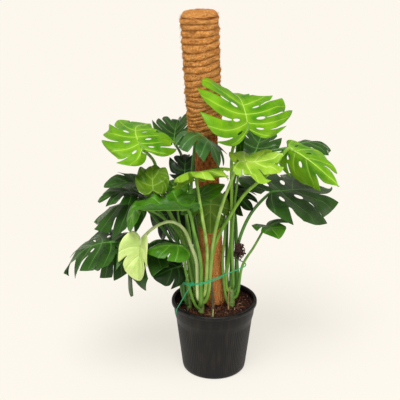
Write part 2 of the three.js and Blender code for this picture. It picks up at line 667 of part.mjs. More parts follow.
// The inside of the pot, drawn in by a given distance so that it also shapes the soil
const insideProfile = (inset, floor, top) => [
  [0, floor],
  [POT_BASE_RADIUS - 4 - inset, floor],
  [POT_BASE_RADIUS - 0.7 - inset, 12],
  [BODY_TOP_RADIUS - POT_WALL - inset, COLLAR_LOW],
  [COLLAR_RADIUS - POT_WALL - 1.5 - inset, COLLAR_LOW + 5],
  ...top,
];
const POT_SIDES = 28;
const hollow = turned(insideProfile(0, POT_FLOOR, [
  [COLLAR_RADIUS - POT_WALL, COLLAR_HIGH],
  [COLLAR_RADIUS - POT_WALL + 2, POT_HEIGHT + 1],
  [0, POT_HEIGHT + 1],
]), POT_SIDES);
let pot = turned(potProfile, POT_SIDES).subtract(hollow);
const DRAINS = 6;
for (let k = 0; k < DRAINS; k++) {
  const a = (2 * Math.PI * k) / DRAINS;
  const at = new THREE.Matrix4().makeTranslation(62 * Math.cos(a), 62 * Math.sin(a), 0);
  pot = pot.subtract(turned([[0, -2], [6, -2], [6, 6], [0, 6]], 6, at));
}
add('pot', pot, '#2c2b2a', 0.55);

// The soil fills the pot to a low mound, with a plain hole for whatever stands in it
let soil = turned(insideProfile(CLEAR, POT_FLOOR + CLEAR, [
  [COLLAR_RADIUS - POT_WALL - 1.2, SOIL_TOP - 4],
  [92, SOIL_TOP - 1],
  [50, SOIL_TOP + 2],
  [0, SOIL_TOP + 1],
]), POT_SIDES);
soil = soil.subtract(rod(COIR_RADIUS + 0.8 + CLEAR, -CLEAR, 200));
for (const stem of Object.values(STEMS)) soil = soil.subtract(stemSolid(stem, CLEAR));
for (const piece of Object.values(REMAINS)) soil = soil.subtract(remainSolid(piece, CLEAR));
add('soil', soil, '#3a221a', 1);

// Green twine holds the front stalks to the pole, and its loose end lies over the rim
const TIE = [
  [-106, -52, 303],
  [-105, -32, 303],
  [-102, -10, 304],
  [-98.5, 11, 305],
  [-76, 20, 308],
  [-52, 34, 311],
  [-34, 42, 313],
  [-8, 46, 316],
  [16, 44, 319],
  [34, 41, 321],
  [49, 30, 323],
  [62, 14, 326],
  [72, -4, 329],
  [84, -32, 333],
  [83, -48, 333],
  [70, -57, 330],
  [40, -70, 323],
  [0, -88, 315],
  [-26, -99, 309],
  [-40, -101, 307],
  [-54, -100, 306],
  [-76, -95, 304],
  [-96, -76, 303],
];
const KNOT = [-62, -99, 305];
const KNOT_RADIUS = 4;
const TIE_END = [
  [-63, -100.5, 300.6],
  [-69, -97, 290],
  [-81, -87, 264],
  [-92, -76, 238],
  [-101, -68, 218],
  [-105, -66, 208],
  [-107, -66, 194],
];
const tie = new THREE.CatmullRomCurve3(TIE.map(vec), true, 'centripetal');
const knot = solidOf(new THREE.SphereGeometry(KNOT_RADIUS, 8, 6).translate(...KNOT));
add('tie_loop', cordAlong(tie, TWINE_RADIUS, 6, 56).add(knot), '#2b8f68', 0.6);
const tieEnd = new THREE.CatmullRomCurve3(TIE_END.map(vec), false, 'centripetal');
add('tie_end', cordAlong(tieEnd, TWINE_RADIUS, 8, 18), '#2b8f68', 0.6);

// A dried tuft of roots hangs before the right stalks
const tuftShape = new THREE.SphereGeometry(1, 9, 7).scale(12, 10, 28).rotateX(-0.15);
let tuft = solidOf(tuftShape.translate(66, -42, 374));
for (const name of ['right_dark', 'right_low', 'furled']) {
  tuft = tuft.subtract(stalk(LEAVES[name], leafAxes(LEAVES[name].turn), CLEAR));
}
add('root_tuft', tuft, '#3b221a', 1);

export default part;
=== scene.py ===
# %% [markdown]
# # A potted Swiss cheese plant on a coir pole
# The plant stands about a metre tall in a black nursery pot. Its leaves are cut into lobes and
# pierced by holes, and each hangs on a long stalk that grows from one of four short stems. A pole
# wrapped in coir stands in the soil behind them, and green twine holds the stalks to it.
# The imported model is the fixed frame. It gives every part its size and place, and the cells below
# dress each part in a finer surface that lies over the plain solid.

# %% Load the frame
import json
import math

import bpy
import numpy as np
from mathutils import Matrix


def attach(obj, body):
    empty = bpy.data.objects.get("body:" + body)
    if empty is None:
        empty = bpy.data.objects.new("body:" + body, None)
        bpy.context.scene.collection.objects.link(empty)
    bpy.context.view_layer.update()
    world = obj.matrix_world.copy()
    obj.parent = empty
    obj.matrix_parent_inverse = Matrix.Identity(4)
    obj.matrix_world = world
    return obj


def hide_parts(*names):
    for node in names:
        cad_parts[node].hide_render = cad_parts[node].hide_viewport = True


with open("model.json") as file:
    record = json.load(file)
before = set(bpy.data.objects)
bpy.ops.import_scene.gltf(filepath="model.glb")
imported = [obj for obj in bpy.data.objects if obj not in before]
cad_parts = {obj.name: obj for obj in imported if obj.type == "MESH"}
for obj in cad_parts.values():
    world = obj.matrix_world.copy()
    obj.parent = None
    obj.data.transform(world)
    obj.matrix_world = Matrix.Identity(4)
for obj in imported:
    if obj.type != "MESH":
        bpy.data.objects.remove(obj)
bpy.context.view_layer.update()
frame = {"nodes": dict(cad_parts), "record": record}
SLOT_OF = {row["node"]: row["material_slot"] for row in frame["record"]["subparts"]}
MM = 0.001

# %% [markdown]
# ## The camera
# The photograph looks down on the plant from a little above its top, through a long lens, so the
# upright lines hardly converge. A long focal length and a distant camera repeat that.

# %% Camera
CAMERA_PLACE = (-0.0402, -2.2, 1.3208)
LOOK_DOWN = 20.3
LENS_MM = 77.985

camera = bpy.data.objects.new("camera", bpy.data.cameras.new("camera"))
bpy.context.scene.collection.objects.link(camera)
camera.location = CAMERA_PLACE
camera.rotation_euler = (math.radians(90 - LOOK_DOWN), 0, 0)
camera.data.lens = LENS_MM
camera.data.clip_end = 50
bpy.context.scene.camera = camera
print("camera looks down by", LOOK_DOWN, "degrees through a", LENS_MM, "mm lens")

# %% [markdown]
# ## Points, faces and values
# Every surface here is worked out as whole numpy arrays: a grid of points, or rings of points
# carried along a line. A shell is one closed skin: its points in millimetres, its triangles, and
# named values at the points, which a material can read as attributes. The same could be modelled
# by hand with Blender's editing tools, but arrays keep every size a named value.

# %% Grids into triangles
def grid_faces(rows, columns, closed=False):
    """Two triangles for each square of a grid; closed joins the last column to the first."""
    r = np.arange(rows - 1)[:, None] * columns
    c = np.arange(columns if closed else columns - 1)[None, :]
    after = (c + 1) % columns
    a, b, d, e = np.broadcast_arrays(r + c, r + after, r + columns + after, r + columns + c)
    first = np.stack([a, b, d], -1).reshape(-1, 3)
    second = np.stack([a, d, e], -1).reshape(-1, 3)
    return np.concatenate([first, second])


print("a grid of 3 by 3 points has", len(grid_faces(3, 3)), "triangles")

# %% Closed skins
def weld(points, faces, step=0.01):
    """Points that round to the same multiple of step become one, and flat triangles go."""
    cells = np.round(points / step)
    _, first, where = np.unique(cells, axis=0, return_index=True, return_inverse=True)
    faces = where.reshape(-1)[faces]
    a, b, c = faces.T
    return first, faces[(a != b) & (b != c) & (c != a)]


def turned_outward(points, faces):
    """A closed skin whose enclosed volume, a sixth of the sum of triple products, is positive."""
    a, b, c = (points[faces[:, k]] for k in range(3))
    volume = np.einsum("ij,ij->i", a, np.cross(b, c)).sum()
    return faces[:, ::-1] if volume < 0 else faces


def shell(points, faces, **values):
    """One closed skin with its values, welded and facing out."""
    first, faces = weld(points, faces)
    points = points[first]
    return points, turned_outward(points, faces), {k: value[first] for k, value in values.items()}

# %% Shells into an object
def piece(name, shells, nodes, over=False):
    """One object at the origin that holds all the shells, rides on the root and replaces nodes.
    A piece that lies over its node leaves the node in view."""
    starts = np.cumsum([0] + [len(s[0]) for s in shells])
    points = np.concatenate([s[0] for s in shells]) * MM
    faces = np.concatenate([s[1] + start for s, start in zip(shells, starts)])
    mesh = bpy.data.meshes.new(name)
    mesh.vertices.add(len(points))
    mesh.vertices.foreach_set("co", points.astype(np.float32).ravel())
    mesh.loops.add(faces.size)
    mesh.loops.foreach_set("vertex_index", faces.astype(np.int32).ravel())
    mesh.polygons.add(len(faces))
    mesh.polygons.foreach_set("loop_start", np.arange(0, faces.size, 3, dtype=np.int32))
    mesh.update(calc_edges=True)
    mesh.shade_smooth()
    for key in shells[0][2]:
        column = np.concatenate([s[2][key] for s in shells]).astype(np.float32)
        mesh.attributes.new(key, "FLOAT", "POINT").data.foreach_set("value", column)
    made = bpy.data.objects.new(name, mesh)
    bpy.context.scene.collection.objects.link(made)
    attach(made, "root")
    slot = SLOT_OF[nodes[0]]
    if not over:
        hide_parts(*nodes)
    mesh.materials.append(FINISH[slot])
    return made


print("material slots to dress:", len(set(SLOT_OF.values())))

# %% [markdown]
# ## Lines and tubes
# Stalks, stems, twine, fibres and roots are all round sections carried along a line. The line is a
# centripetal spline through a few points, the kind that never loops between close points, and it
# is then cut into equal lengths. A Blender curve with a bevel gives a plain round section, but a
# stalk has a groove and twine has plies, so the rings are laid out here.

# %% A smooth line
STEPS_BETWEEN = 40


def spline(points, count, closed=False):
    """A smooth line through the points: knots lie the square root of the distance apart, and each
    stretch blends the straight lines through its four nearest points. Cut at equal lengths."""
    p = np.asarray(points, float)
    ends = (p[-1:], p[:2]) if closed else (2 * p[:1] - p[1:2], 2 * p[-1:] - p[-2:-1])
    p = np.concatenate([ends[0], p, ends[1]])
    knot = np.concatenate([[0], np.cumsum(np.sqrt(np.linalg.norm(np.diff(p, axis=0), axis=1)))])
    share = np.linspace(0, 1, STEPS_BETWEEN)[:-1]
    t = (knot[1:-2, None] + share * (knot[2:-1] - knot[1:-2])[:, None])[..., None]
    k = [knot[i:len(knot) - 3 + i, None, None] for i in range(4)]
    q = [p[i:len(p) - 3 + i, None, :] for i in range(4)]
    mix = lambda a, b, i, j: ((k[j] - t) * a + (t - k[i]) * b) / (k[j] - k[i])
    a1, a2, a3 = mix(q[0], q[1], 0, 1), mix(q[1], q[2], 1, 2), mix(q[2], q[3], 2, 3)
    line = mix(mix(a1, a2, 0, 2), mix(a2, a3, 1, 3), 1, 2).reshape(-1, 3)
    line = np.concatenate([line, p[-2:-1]])
    along = np.concatenate([[0], np.cumsum(np.linalg.norm(np.diff(line, axis=0), axis=1))])
    want = np.linspace(0, along[-1], count)
    return np.stack([np.interp(want, along, line[:, c]) for c in range(3)], -1)


print("a bend in 5 points:", spline([(0, 0, 0), (1, 0, 0), (1, 1, 0)], 5).round(2).tolist())

# %% Tubes along lines
def tube(lines, radii, sides=12, section=None, **values):
    """Rings round each of n lines of m points. The ring lies square to the line, and section can
    scale its radius by (share along the line, angle). Each tube is closed by a fan at both ends."""
    lines = np.asarray(lines, float)
    lines = lines[None] if lines.ndim == 2 else lines
    n, m, _ = lines.shape
    along = np.gradient(lines, axis=1)
    along /= np.linalg.norm(along, axis=2, keepdims=True) + 1e-12
    least = np.argmin(np.abs(along).max(1), axis=1)
    side = np.eye(3)[least][:, None, :]
    side = side - (side * along).sum(2, keepdims=True) * along
    side /= np.linalg.norm(side, axis=2, keepdims=True)
    up = np.cross(along, side)
    angle = np.linspace(0, 2 * np.pi, sides, endpoint=False)
    share = np.linspace(0, 1, m)[:, None]
    radius = np.broadcast_to(radii, (n, m))[..., None] * (section(share, angle) if section else 1)
    ring = side[:, :, None] * np.cos(angle)[:, None] + up[:, :, None] * np.sin(angle)[:, None]
    points = lines[:, :, None] + ring * np.broadcast_to(radius, (n, m, sides))[..., None]
    walls = grid_faces(m, sides, closed=True)
    fan = np.stack([np.zeros(sides - 2, int), np.arange(1, sides - 1), np.arange(2, sides)], -1)
    one = np.concatenate([walls, fan[:, ::-1], fan + (m - 1) * sides])
    faces = (one[None] + (np.arange(n) * m * sides)[:, None, None]).reshape(-1, 3)
    points = points.reshape(-1, 3)
    values = {key: np.repeat(np.broadcast_to(v, (n, m)), sides) for key, v in values.items()}
    return points, turned_outward(points, faces), values


print("a tube of three rings has", len(tube(np.eye(3), 1.0)[1]), "triangles")

# %% [markdown]
# ## Natural unevenness
# Coir, soil and leaves are never quite even. A sum of waves with random slopes and phases gives
# smooth lumps, the same ones on every run because the random numbers are seeded.

# %% Smooth lumps
RANDOM_SEED = 7
WAVES = 24
rng = np.random.default_rng(RANDOM_SEED)


def lumps(angle, distance, around, length):
    """A sum of cosines over the root of their number: whole turns up to `around` in angle, waves
    down to `length` in distance. It closes on itself round the angle and mostly lies between -1
    and 1."""
    rounds = rng.integers(-around, around + 1, WAVES)
    waves = rng.uniform(-1, 1, WAVES) * 2 * np.pi / length
    phase = rng.uniform(0, 2 * np.pi, WAVES)
    inside = angle[..., None] * rounds + distance[..., None] * waves + phase
    return np.cos(inside).sum(-1) / math.sqrt(WAVES)


print("waves in each field of lumps:", WAVES)

# %% [markdown]
# ## Finishes
# A finish is a Principled shader whose colour, roughness and height come from noise in Object
# coordinates and from the values at the points. The nodes could be wired one by one for each
# finish, but small helpers keep each to a few lines, in the order in which a painter would work.

# %% Helpers for finishes
def paint(code):
    """A colour code as linear red, green, blue and alpha."""
    parts = [int(code[i:i + 2], 16) / 255 for i in (1, 3, 5)]
    return [*((c / 12.92) if c < 0.04045 else ((c + 0.055) / 1.055) ** 2.4 for c in parts), 1]


class Finish:
    """Builds one material node by node; every method returns a socket to plug in further on."""

    def __init__(self, name, roughness=0.6, **constants):
        """Starts from a plain Principled shader; constants are its other inputs."""
        self.material = bpy.data.materials.new(name)
        self.material.use_nodes = True
        self.nodes = self.material.node_tree.nodes
        self.link = self.material.node_tree.links.new
        self.shader = self.nodes["Principled BSDF"]
        self.shader.inputs["Roughness"].default_value = roughness
        for key, value in constants.items():
            self.shader.inputs[key.replace("_", " ")].default_value = value
        self.place = self.nodes.new("ShaderNodeTexCoord").outputs["Object"]

    def put(self, socket, value):
        """Plugs a socket in, or sets a constant."""
        if isinstance(value, bpy.types.NodeSocket):
            self.link(value, socket)
        else:
            socket.default_value = value

    def noise(self, scale, detail=4, stretch=(1, 1, 1), low=0.35, high=0.65):
        """Noise spread to run from 0 at low to 1 at high."""
        mapping = self.nodes.new("ShaderNodeMapping")
        mapping.inputs["Scale"].default_value = stretch
        self.link(self.place, mapping.inputs["Vector"])
        node = self.nodes.new("ShaderNodeTexNoise")
        self.link(mapping.outputs[0], node.inputs["Vector"])
        node.inputs["Scale"].default_value = scale
        node.inputs["Detail"].default_value = detail
        return self.ramp(node.outputs[0], low, high)

    def value(self, name):
        """A value that the piece carries at its points."""
        node = self.nodes.new("ShaderNodeAttribute")
        node.attribute_name = name
        return node.outputs["Fac"]

    def ramp(self, socket, low, high, start=0.0, end=1.0):
        """Maps low..high to start..end and clamps."""
        node = self.nodes.new("ShaderNodeMapRange")
        limits = {"From Min": low, "From Max": high, "To Min": start, "To Max": end}
        for key, number in limits.items():
            node.inputs[key].default_value = number
        self.link(socket, node.inputs["Value"])
        return node.outputs[0]

    def math(self, operation, a, b=0.0):
        """One operation on two numbers or sockets."""
        node = self.nodes.new("ShaderNodeMath")
        node.operation = operation
        self.put(node.inputs[0], a)
        self.put(node.inputs[1], b)
        return node.outputs[0]

    def mix(self, share, a, b):
        """Colour a where share is 0, b where it is 1; either can be a code or a socket."""
        node = self.nodes.new("ShaderNodeMix")
        node.data_type = "RGBA"
        self.put(node.inputs["Factor"], share)
        self.put(node.inputs[6], paint(a) if isinstance(a, str) else a)
        self.put(node.inputs[7], paint(b) if isinstance(b, str) else b)
        return node.outputs[2]

    def colour(self, socket):
        """The socket becomes the surface's own colour."""
        self.link(socket, self.shader.inputs["Base Color"])

    def height(self, socket, depth_mm, strength=1.0):
        """A bump as deep as depth_mm where the socket goes from 0 to 1."""
        node = self.nodes.new("ShaderNodeBump")
        node.inputs["Distance"].default_value = depth_mm * MM
        node.inputs["Strength"].default_value = strength
        self.link(socket, node.inputs["Height"])
        self.link(node.outputs[0], self.shader.inputs["Normal"])


FINISH = {}
print("a leaf green in linear light:", [round(c, 3) for c in paint("#3c7c02")])

# %% [markdown]
# ## Twine
# Green twine of two twisted plies goes round the front stalks and the pole, and its loose end
# hangs over the rim. The loop is held all the way. The loose end hangs free; its length is printed,
# its thickness is TWINE_RADIUS, and its points are the ones that the solid follows. Two strands
# could be twisted round each other, but at this size one tube with a winding ridge looks the same.

# %% Twine finish
twine = Finish("green_twine", roughness=0.55)
twine.colour(twine.mix(twine.noise(900, stretch=(1, 1, 3)), "#0c8254", "#2bbd82"))
twine.height(twine.noise(1500), 0.15)
FINISH["twine"] = twine.material
print("finishes so far:", len(FINISH))

# %% The loop, its knot and the loose end
TWINE_RADIUS = 1.3
TIE = [
    (-106, -52, 303), (-105, -32, 303), (-102, -10, 304), (-98.5, 11, 305), (-76, 20, 308),
    (-52, 34, 311), (-34, 42, 313), (-8, 46, 316), (16, 44, 319), (34, 41, 321), (49, 30, 323),
    (62, 14, 326), (72, -4, 329), (84, -32, 333), (83, -48, 333), (70, -57, 330), (40, -70, 323),
    (0, -88, 315), (-26, -99, 309), (-40, -101, 307), (-54, -100, 306), (-76, -95, 304),
    (-96, -76, 303),
]
SECOND_TURN = [
    (-94, -80, 300), (-74, -97, 301), (-50, -102.5, 303), (-28, -101, 306), (2, -90, 312),
    (22, -80, 317),
]
TIE_END = [
    (-63, -100.5, 300.6), (-69, -97, 290), (-81, -87, 264), (-92, -76, 238), (-101, -68, 218),
    (-105, -66, 208), (-107, -66, 194),
]
KNOT, KNOT_RADIUS, KNOT_TWINE = (-62, -99, 305), 4.2, 0.85
LOOP_RINGS, SHORT_RINGS = 420, 90
TWIST_MM = 9
PLY_VALLEY, PLY_RIDGE = 0.9, 0.14


def plies(share, angle, length):
    """Two strands show as a ridge that winds: the valley, plus the ridge times the size of the
    cosine of the angle less the twist."""
    turn = share * length / TWIST_MM * np.pi
    return PLY_VALLEY + PLY_RIDGE * np.abs(np.cos(angle - turn))


def twine_run(points, count, closed=False):
    """The twine through these points, the line along its middle, and that line's length."""
    line = spline(points, count, closed)
    length = np.linalg.norm(np.diff(line, axis=0), axis=1).sum()
    return tube(line, TWINE_RADIUS, 10, lambda s, a: plies(s, a, length)), line, length


def knot_turns(centre, radius):
    """A trefoil: sin t + 2 sin 2t, -sin 3t, cos t - 2 cos 2t, scaled to the knot."""
    t = np.linspace(0, 2 * np.pi, SHORT_RINGS)
    shape = np.stack([np.sin(t) + 2 * np.sin(2 * t), -np.sin(3 * t),
                      np.cos(t) - 2 * np.cos(2 * t)], -1)
    return tube(np.array(centre) + shape * radius / 3, TWINE_RADIUS * KNOT_TWINE, 8)


loop, _, loop_length = twine_run(TIE, LOOP_RINGS, closed=True)
second, _, _ = twine_run(SECOND_TURN, SHORT_RINGS)
piece("tie_loop_twine", [loop, second, knot_turns(KNOT, KNOT_RADIUS)], ["tie_loop"])
end, end_line, end_length = twine_run(TIE_END, SHORT_RINGS)
tail = piece("tie_end_twine", [end], ["tie_end"])
print("twine round the plant:", round(loop_length), "mm; loose end:", round(end_length), "mm")

# %% [markdown]
# ## The leaves
# A leaf blade is half a dozen or so lobes on each side of the midrib, joined near the midrib and
# cut apart towards the rim. Each lobe is a grid: s runs out along its vein and t runs across it,
# from one border to the next. Where neighbouring borders coincide, the lobes are welded into one
# sheet. Where a border is drawn back, a slit or a hole opens.
# The flat sheet is then bent: the midrib arches, the halves fold, and they droop to their edges.
# Each leaf could be cut and bent by hand, but one function makes all 31 from a row of sizes each.

# %% Sizes of every leaf
BLADE_THICKNESS = 0.9
STALK_RADIUS = 4.8
STEMS = {
    "front": ((-38, -62, 168), (-36, -60, 263), 9),
    "right": ((50, -26, 168), (47, -24, 261), 9),
    "left": ((-68, -40, 168), (-72, -34, 252), 8),
    "back": ((-28, 58, 168), (-32, 60, 271), 9),
}
# How far out each border stays whole, from the stalk to the tip; 1 is never cut.
CUTS = {
    "deep4": [0.58, 0.5, 0.5, 0.55], "deep3": [0.6, 0.52, 0.55], "pair": [0.55, 1, 0.45],
    "single": [1, 0.6, 1], "none": [1, 1, 1], "open4": [0.55, 0.42, 0.42, 0.52],
}
HOLE_FROM, HOLE_TO = 0.2, 0.4
# How wide the hole in each border is beside the others, on the left half and on the right.
HOLE_SHARE = {1: (0, 1, 0.75, 0.9), -1: (0, 0.8, 1, 0.5)}
SLIT = 0.1
PLAIN = {"slit": (SLIT, SLIT), "point": 0.3, "spur": 0, "ruffle": 0.008}
FIELDS = ["at", "turn", "length", "width", "arch", "fold", "droop", "cuts", "hole", "stem",
          "side", "height", "via"]


def leaf(*values):
    """at: where the stalk meets the blade. turn: azimuth, rise and roll of the midrib in degrees.
    width: beside the length. arch, fold and droop: degrees, the last two for the left and the
    right half and never 0. cuts: a row of CUTS. hole: beside the lobe's width. side, height:
    where the stalk leaves its stem. via: points that the stalk passes."""
    return {**PLAIN, **dict(zip(FIELDS, values))}


LEAVES = {
    "crown": leaf((78, -142, 747), (128, 79, -22), 158, 1.5, 108, (38, -8),
        (14, 2), "deep4", 0.26, "right", 172, 241,
        [(44, -30, 405), (44, -44, 510), (42, -54, 635), (45, -74, 678)]),
    "left_lime": leaf((-187, -90, 680), (126, 33, -62), 191, 0.91, 94, (52, -51),
        (2, 28), "deep4", 0.22, "left", 74, 242,
        [(-84, 2, 390), (-122, -46, 490), (-146, -40, 555), (-160, -6, 612)]),
    "right_lime": leaf((186, -90, 682), (-43, -13, 32), 165, 1.09, 37, (-30, -58),
        (19, 42), "pair", 0.24, "front", 15, 253,
        [(0, -45, 395), (40, -60, 485), (80, -75, 555), (140, -85, 615)]),
    "mid_lime": leaf((61, -129, 659), (13, -15, 1), 112, 1.06, -46, (25, -13),
        (29, 17), "deep3", 0, "front", 338, 226,
        [(-5, -85, 420), (15, -105, 525), (40, -120, 605)]),
    "grey": leaf((-47, -70, 715), (-44, -6, -21), 127, 1.11, 60, (-4, 3),
        (14, 50), "deep3", 0, "front", 75, 240,
        [(-50, -22, 345), (-60, -12, 440), (-64, -14, 540), (-58, -45, 635)]),
    "pale_under": leaf((-51, -97, 605), (-73, 50, 40), 131, 1.1, 90, (-20, 40),
        (20, 20), "deep3", 0, "front", 300, 246,
        [(-22, -112, 400), (-36, -160, 530)]),
    "back_left": leaf((-111, 70, 652), (87, 30, -9), 118, 1.05, 22, (40, 35),
        (-5, -5), "deep4", 0, "back", 96, 252,
        [(-46, 100, 350), (-70, 134, 480), (-92, 132, 590)]),
    "right_dark": leaf((153, -10, 534), (42, -9, 32), 260, 0.88, 3, (-8, 15),
        (12, 12), "deep3", 0.3, "right", 358, 241,
        [(61, -28, 370), (78, -50, 450), (103, -42, 495)]),
    "far_left": leaf((-263, -60, 409), (172, 0, 15), 184, 1.06, 62, (-20, 22),
        (12, 12), "deep4", 0.25, "back", 202, 238,
        [(-125, 55, 295), (-185, 35, 360), (-230, -15, 395)]),
    "pale_new": leaf((-194, -120, 438), (-115, -74, -3), 110, 1, 10, (45, 38),
        (-10, -10), "single", 0, "front", 235, 236,
        [(-50, -88, 365), (-66, -98, 420), (-80, -104, 460), (-98, -106, 480),
         (-122, -108, 487), (-160, -112, 472)]),
    "right_back": leaf((114, 104, 610), (72, 30, 4), 112, 1.05, 20, (24, 20),
        (10, 10), "deep3", 0, "right", 95, 247,
        [(52, 40, 400), (56, 98, 530), (84, 118, 596)]),
    "right_far": leaf((212, 54, 641), (8, 28, 4), 120, 1.05, 70, (-1, 4),
        (30, 30), "deep3", 0, "right", 52, 226,
        [(60, 20, 400), (56, 85, 540), (88, 70, 599), (150, 54, 628)]),
    "right_low": leaf((139, -30, 445), (-70, 10, -1), 84, 1.05, 24, (30, 18),
        (9, 9), "single", 0, "right", 335, 221,
        [(76, -38, 330), (107, -34, 385)]),
    "low_a": leaf((-254, 40, 348), (180, -20, -33), 130, 1.05, 46, (-4, 12),
        (30, 30), "deep3", 0, "back", 226, 218,
        [(-140, 40, 296), (-205, 48, 340)]),
    "low_b": leaf((-154, -36, 404), (203, -10, 10), 195, 0.98, 95, (-6, -18),
        (24, 24), "deep3", 0, "left", 198, 218,
        [(-97, -40, 300), (-124, -12, 382)]),
    "left_top": leaf((-202, -30, 566), (193, 11, -3), 95, 1, 22, (18, 22),
        (15, 15), "single", 0, "left", 165, 230,
        [(-96, -16, 374), (-135, -30, 505)]),
    "left_mid": leaf((-214, -22, 540), (199, 13, -14), 106, 1.02, 51, (19, 3),
        (36, 36), "deep3", 0, "back", 205, 248,
        [(-100, 50, 355), (-155, -48, 500)]),
    "left_low": leaf((-209, -25, 516), (160, -15, -12), 165, 1.05, 34, (-12, -6),
        (20, 20), "deep3", 0, "left", 111, 215,
        [(-103, 12, 345), (-155, -5, 445)]),
    "left_small": leaf((-204, -115, 533), (223, -50, 15), 70, 1, 29, (20, 10),
        (26, 26), "none", 0, "front", 178, 250,
        [(-95, -64, 430), (-150, -90, 500)]),
    "olive": leaf((-160, -114, 577), (98, 46, -8), 88, 0.98, 40, (34, 30),
        (14, 16), "none", 0, "left", 262, 237,
        [(-92, -40, 410), (-130, -68, 510)]),
    "edge": leaf((-72, -150, 539), (186, -5, -4), 142, 0.9, -20, (44, 32),
        (4, 4), "single", 0, "front", 266, 218,
        [(-37, -90, 302), (-38, -112, 370), (-55, -160, 480)]),
    "inner": leaf((-76, -91, 529), (10, 30, 4), 113, 0.93, 4, (5, 3),
        (-8, -8), "single", 0, "front", 140, 224,
        [(-58, -50, 335), (-68, -68, 435)]),
    "inner_top": leaf((-104, -16, 540), (114, 34, 4), 72, 1, 60, (30, 24),
        (14, 18), "single", 0, "left", 30, 220,
        [(-74, -30, 380), (-98, -48, 475)]),
    "small_front": leaf((-87, -125, 425), (194, 17, -3), 98, 1, 39, (0, 2),
        (40, 40), "single", 0, "front", 198, 208,
        [(-78, -97, 335)]),
    "small_low": leaf((-93, -80, 348), (225, 6, -30), 90, 1.02, 24, (-18, -2),
        (46, 46), "single", 0, "left", 237, 208,
        [(-86, -66, 298)]),
    "back_a": leaf((-104, 98, 470), (214, -46, -18), 135, 1, 46, (14, 12),
        (28, 28), "deep3", 0, "back", 140, 222,
        [(-74, 84, 330), (-96, 100, 410)]),
    "back_b": leaf((-54, 162, 404), (244, -55, -25), 118, 1, 32, (-10, -4),
        (30, 30), "deep3", 0, "back", 78, 232,
        [(-34, 116, 330)]),
    "pole_front": leaf((-12, -34, 520), (-95, -86, 0), 96, 0.95, -4, (2, 2),
        (6, 6), "single", 0, "right", 215, 202,
        [(22, -30, 330), (28, -20, 440), (14, -23, 516)]),
    "right_inner": leaf((42, 12, 534), (-61, -8, 30), 102, 1, 27, (-2, -20),
        (55, 55), "deep3", 0, "right", 128, 216,
        [(35, 47, 385)]),
    "top_dark": leaf((-82, 66, 558), (92, 58, -13), 84, 1, 60, (30, 26),
        (10, 12), "deep3", 0, "back", 285, 252,
        [(-70, 10, 385), (-80, 15, 485)]),
    "furled": leaf((65, -25, 634), (80, 70, 0), 78, 0.8, 15, (62, 58),
        (-30, -30), "none", 0, "right", 285, 254,
        [(46, -50, 410), (52, -46, 515), (60, -38, 590)]),
}

# %% What sets some leaves apart
SLITS = {"far_left": 0.2, "right_dark": 0.17, "left_low": 0.18, "left_mid": 0.18, "low_b": 0.16,
         "right_lime": 0.15, "grey": 0.14, "right_far": 0.16, "right_back": 0.16}
RUFFLES = {"left_lime": 0.045, "right_lime": 0.03, "mid_lime": 0.05, "pale_under": 0.04,
           "edge": 0.045, "olive": 0.075}
for name, slit in SLITS.items():
    LEAVES[name]["slit"] = (slit, slit)
for name, ruffle in RUFFLES.items():
    LEAVES[name]["ruffle"] = ruffle
LEAVES["crown"].update(cuts="open4", slit=(0.22, 0.12), point=0.5, spur=0.12, ruffle=0.026)
print("leaves:", len(LEAVES), "with wide slits:", len(SLITS) + 1, "rippled:", len(RUFFLES) + 1)

# %% [markdown]
# ## A flat leaf, lobe by lobe
# Seen flat, a blade is a rounded heart. It could be drawn as one outline, with the slits cut by a
# boolean, but that leaves long, thin triangles that bend badly. So the rim is a smooth curve of
# reaches round the blade's middle, side veins run from the midrib to that rim, and each lobe is a
# grid between two borders that lie half way between veins.

# %% The rim of a flat leaf
REACH = np.array([0.7, 0.61, 0.56, 0.545, 0.55, 0.575, 0.59, 0.555, 0.3])
REACH_STEP = 22.5
MIDDLE = 0.3
SPUR_AT, SPUR_SPREAD = 44, 13


def rim(angle, width, spur=0.0):
    """The rim lies REACH from the middle of the blade, read smoothly every REACH_STEP degrees. A
    spur draws one lobe out by a bell curve of the angle."""
    degrees = np.degrees(np.abs(angle))
    x = np.clip(degrees / REACH_STEP, 0, len(REACH) - 1 - 1e-9)
    i = x.astype(int)
    t = x - i
    a, b, c, d = (REACH[np.clip(i + k, 0, len(REACH) - 1)] for k in (-1, 0, 1, 2))
    bend = (2 * a - 5 * b + 4 * c - d) * t**2 + (3 * b - a - 3 * c + d) * t**3
    drawn = 1 + spur * np.exp(-((degrees - SPUR_AT) / SPUR_SPREAD) ** 2)
    reach = 0.5 * (2 * b + (c - a) * t + bend) * drawn
    return MIDDLE + reach * np.cos(angle), width * reach * np.sin(angle)


half_width = rim(np.radians(np.arange(180)), 1)[1].max()
print("half the width of a plain blade:", round(float(half_width), 2), "of its length")

# %% Veins and borders
FIRST_VEIN, LAST_VEIN, VEIN_CROWDING = 146, 40, 0.95
LAST_ROOT, ROOT_CROWDING = 0.56, 1.3
FIRST_BORDER, TIP_BORDER, TIP_ROOT = 172, 0.62, 0.1
VEIN_BEND = 0.18


def half_plan(count):
    """Angles and roots of the side veins, and of the borders half way between them."""
    k = np.arange(count)
    span = FIRST_VEIN - LAST_VEIN
    vein = np.radians(FIRST_VEIN - span * (k / (count - 1)) ** VEIN_CROWDING)
    root = LAST_ROOT * (k / count) ** ROOT_CROWDING
    between = lambda v: (v[1:] + v[:-1]) / 2
    border = np.concatenate([[np.radians(FIRST_BORDER)], between(vein), [vein[-1] * TIP_BORDER]])
    border_root = np.concatenate([[0], between(root), [root[-1] + TIP_ROOT]])
    return vein, root, border, border_root


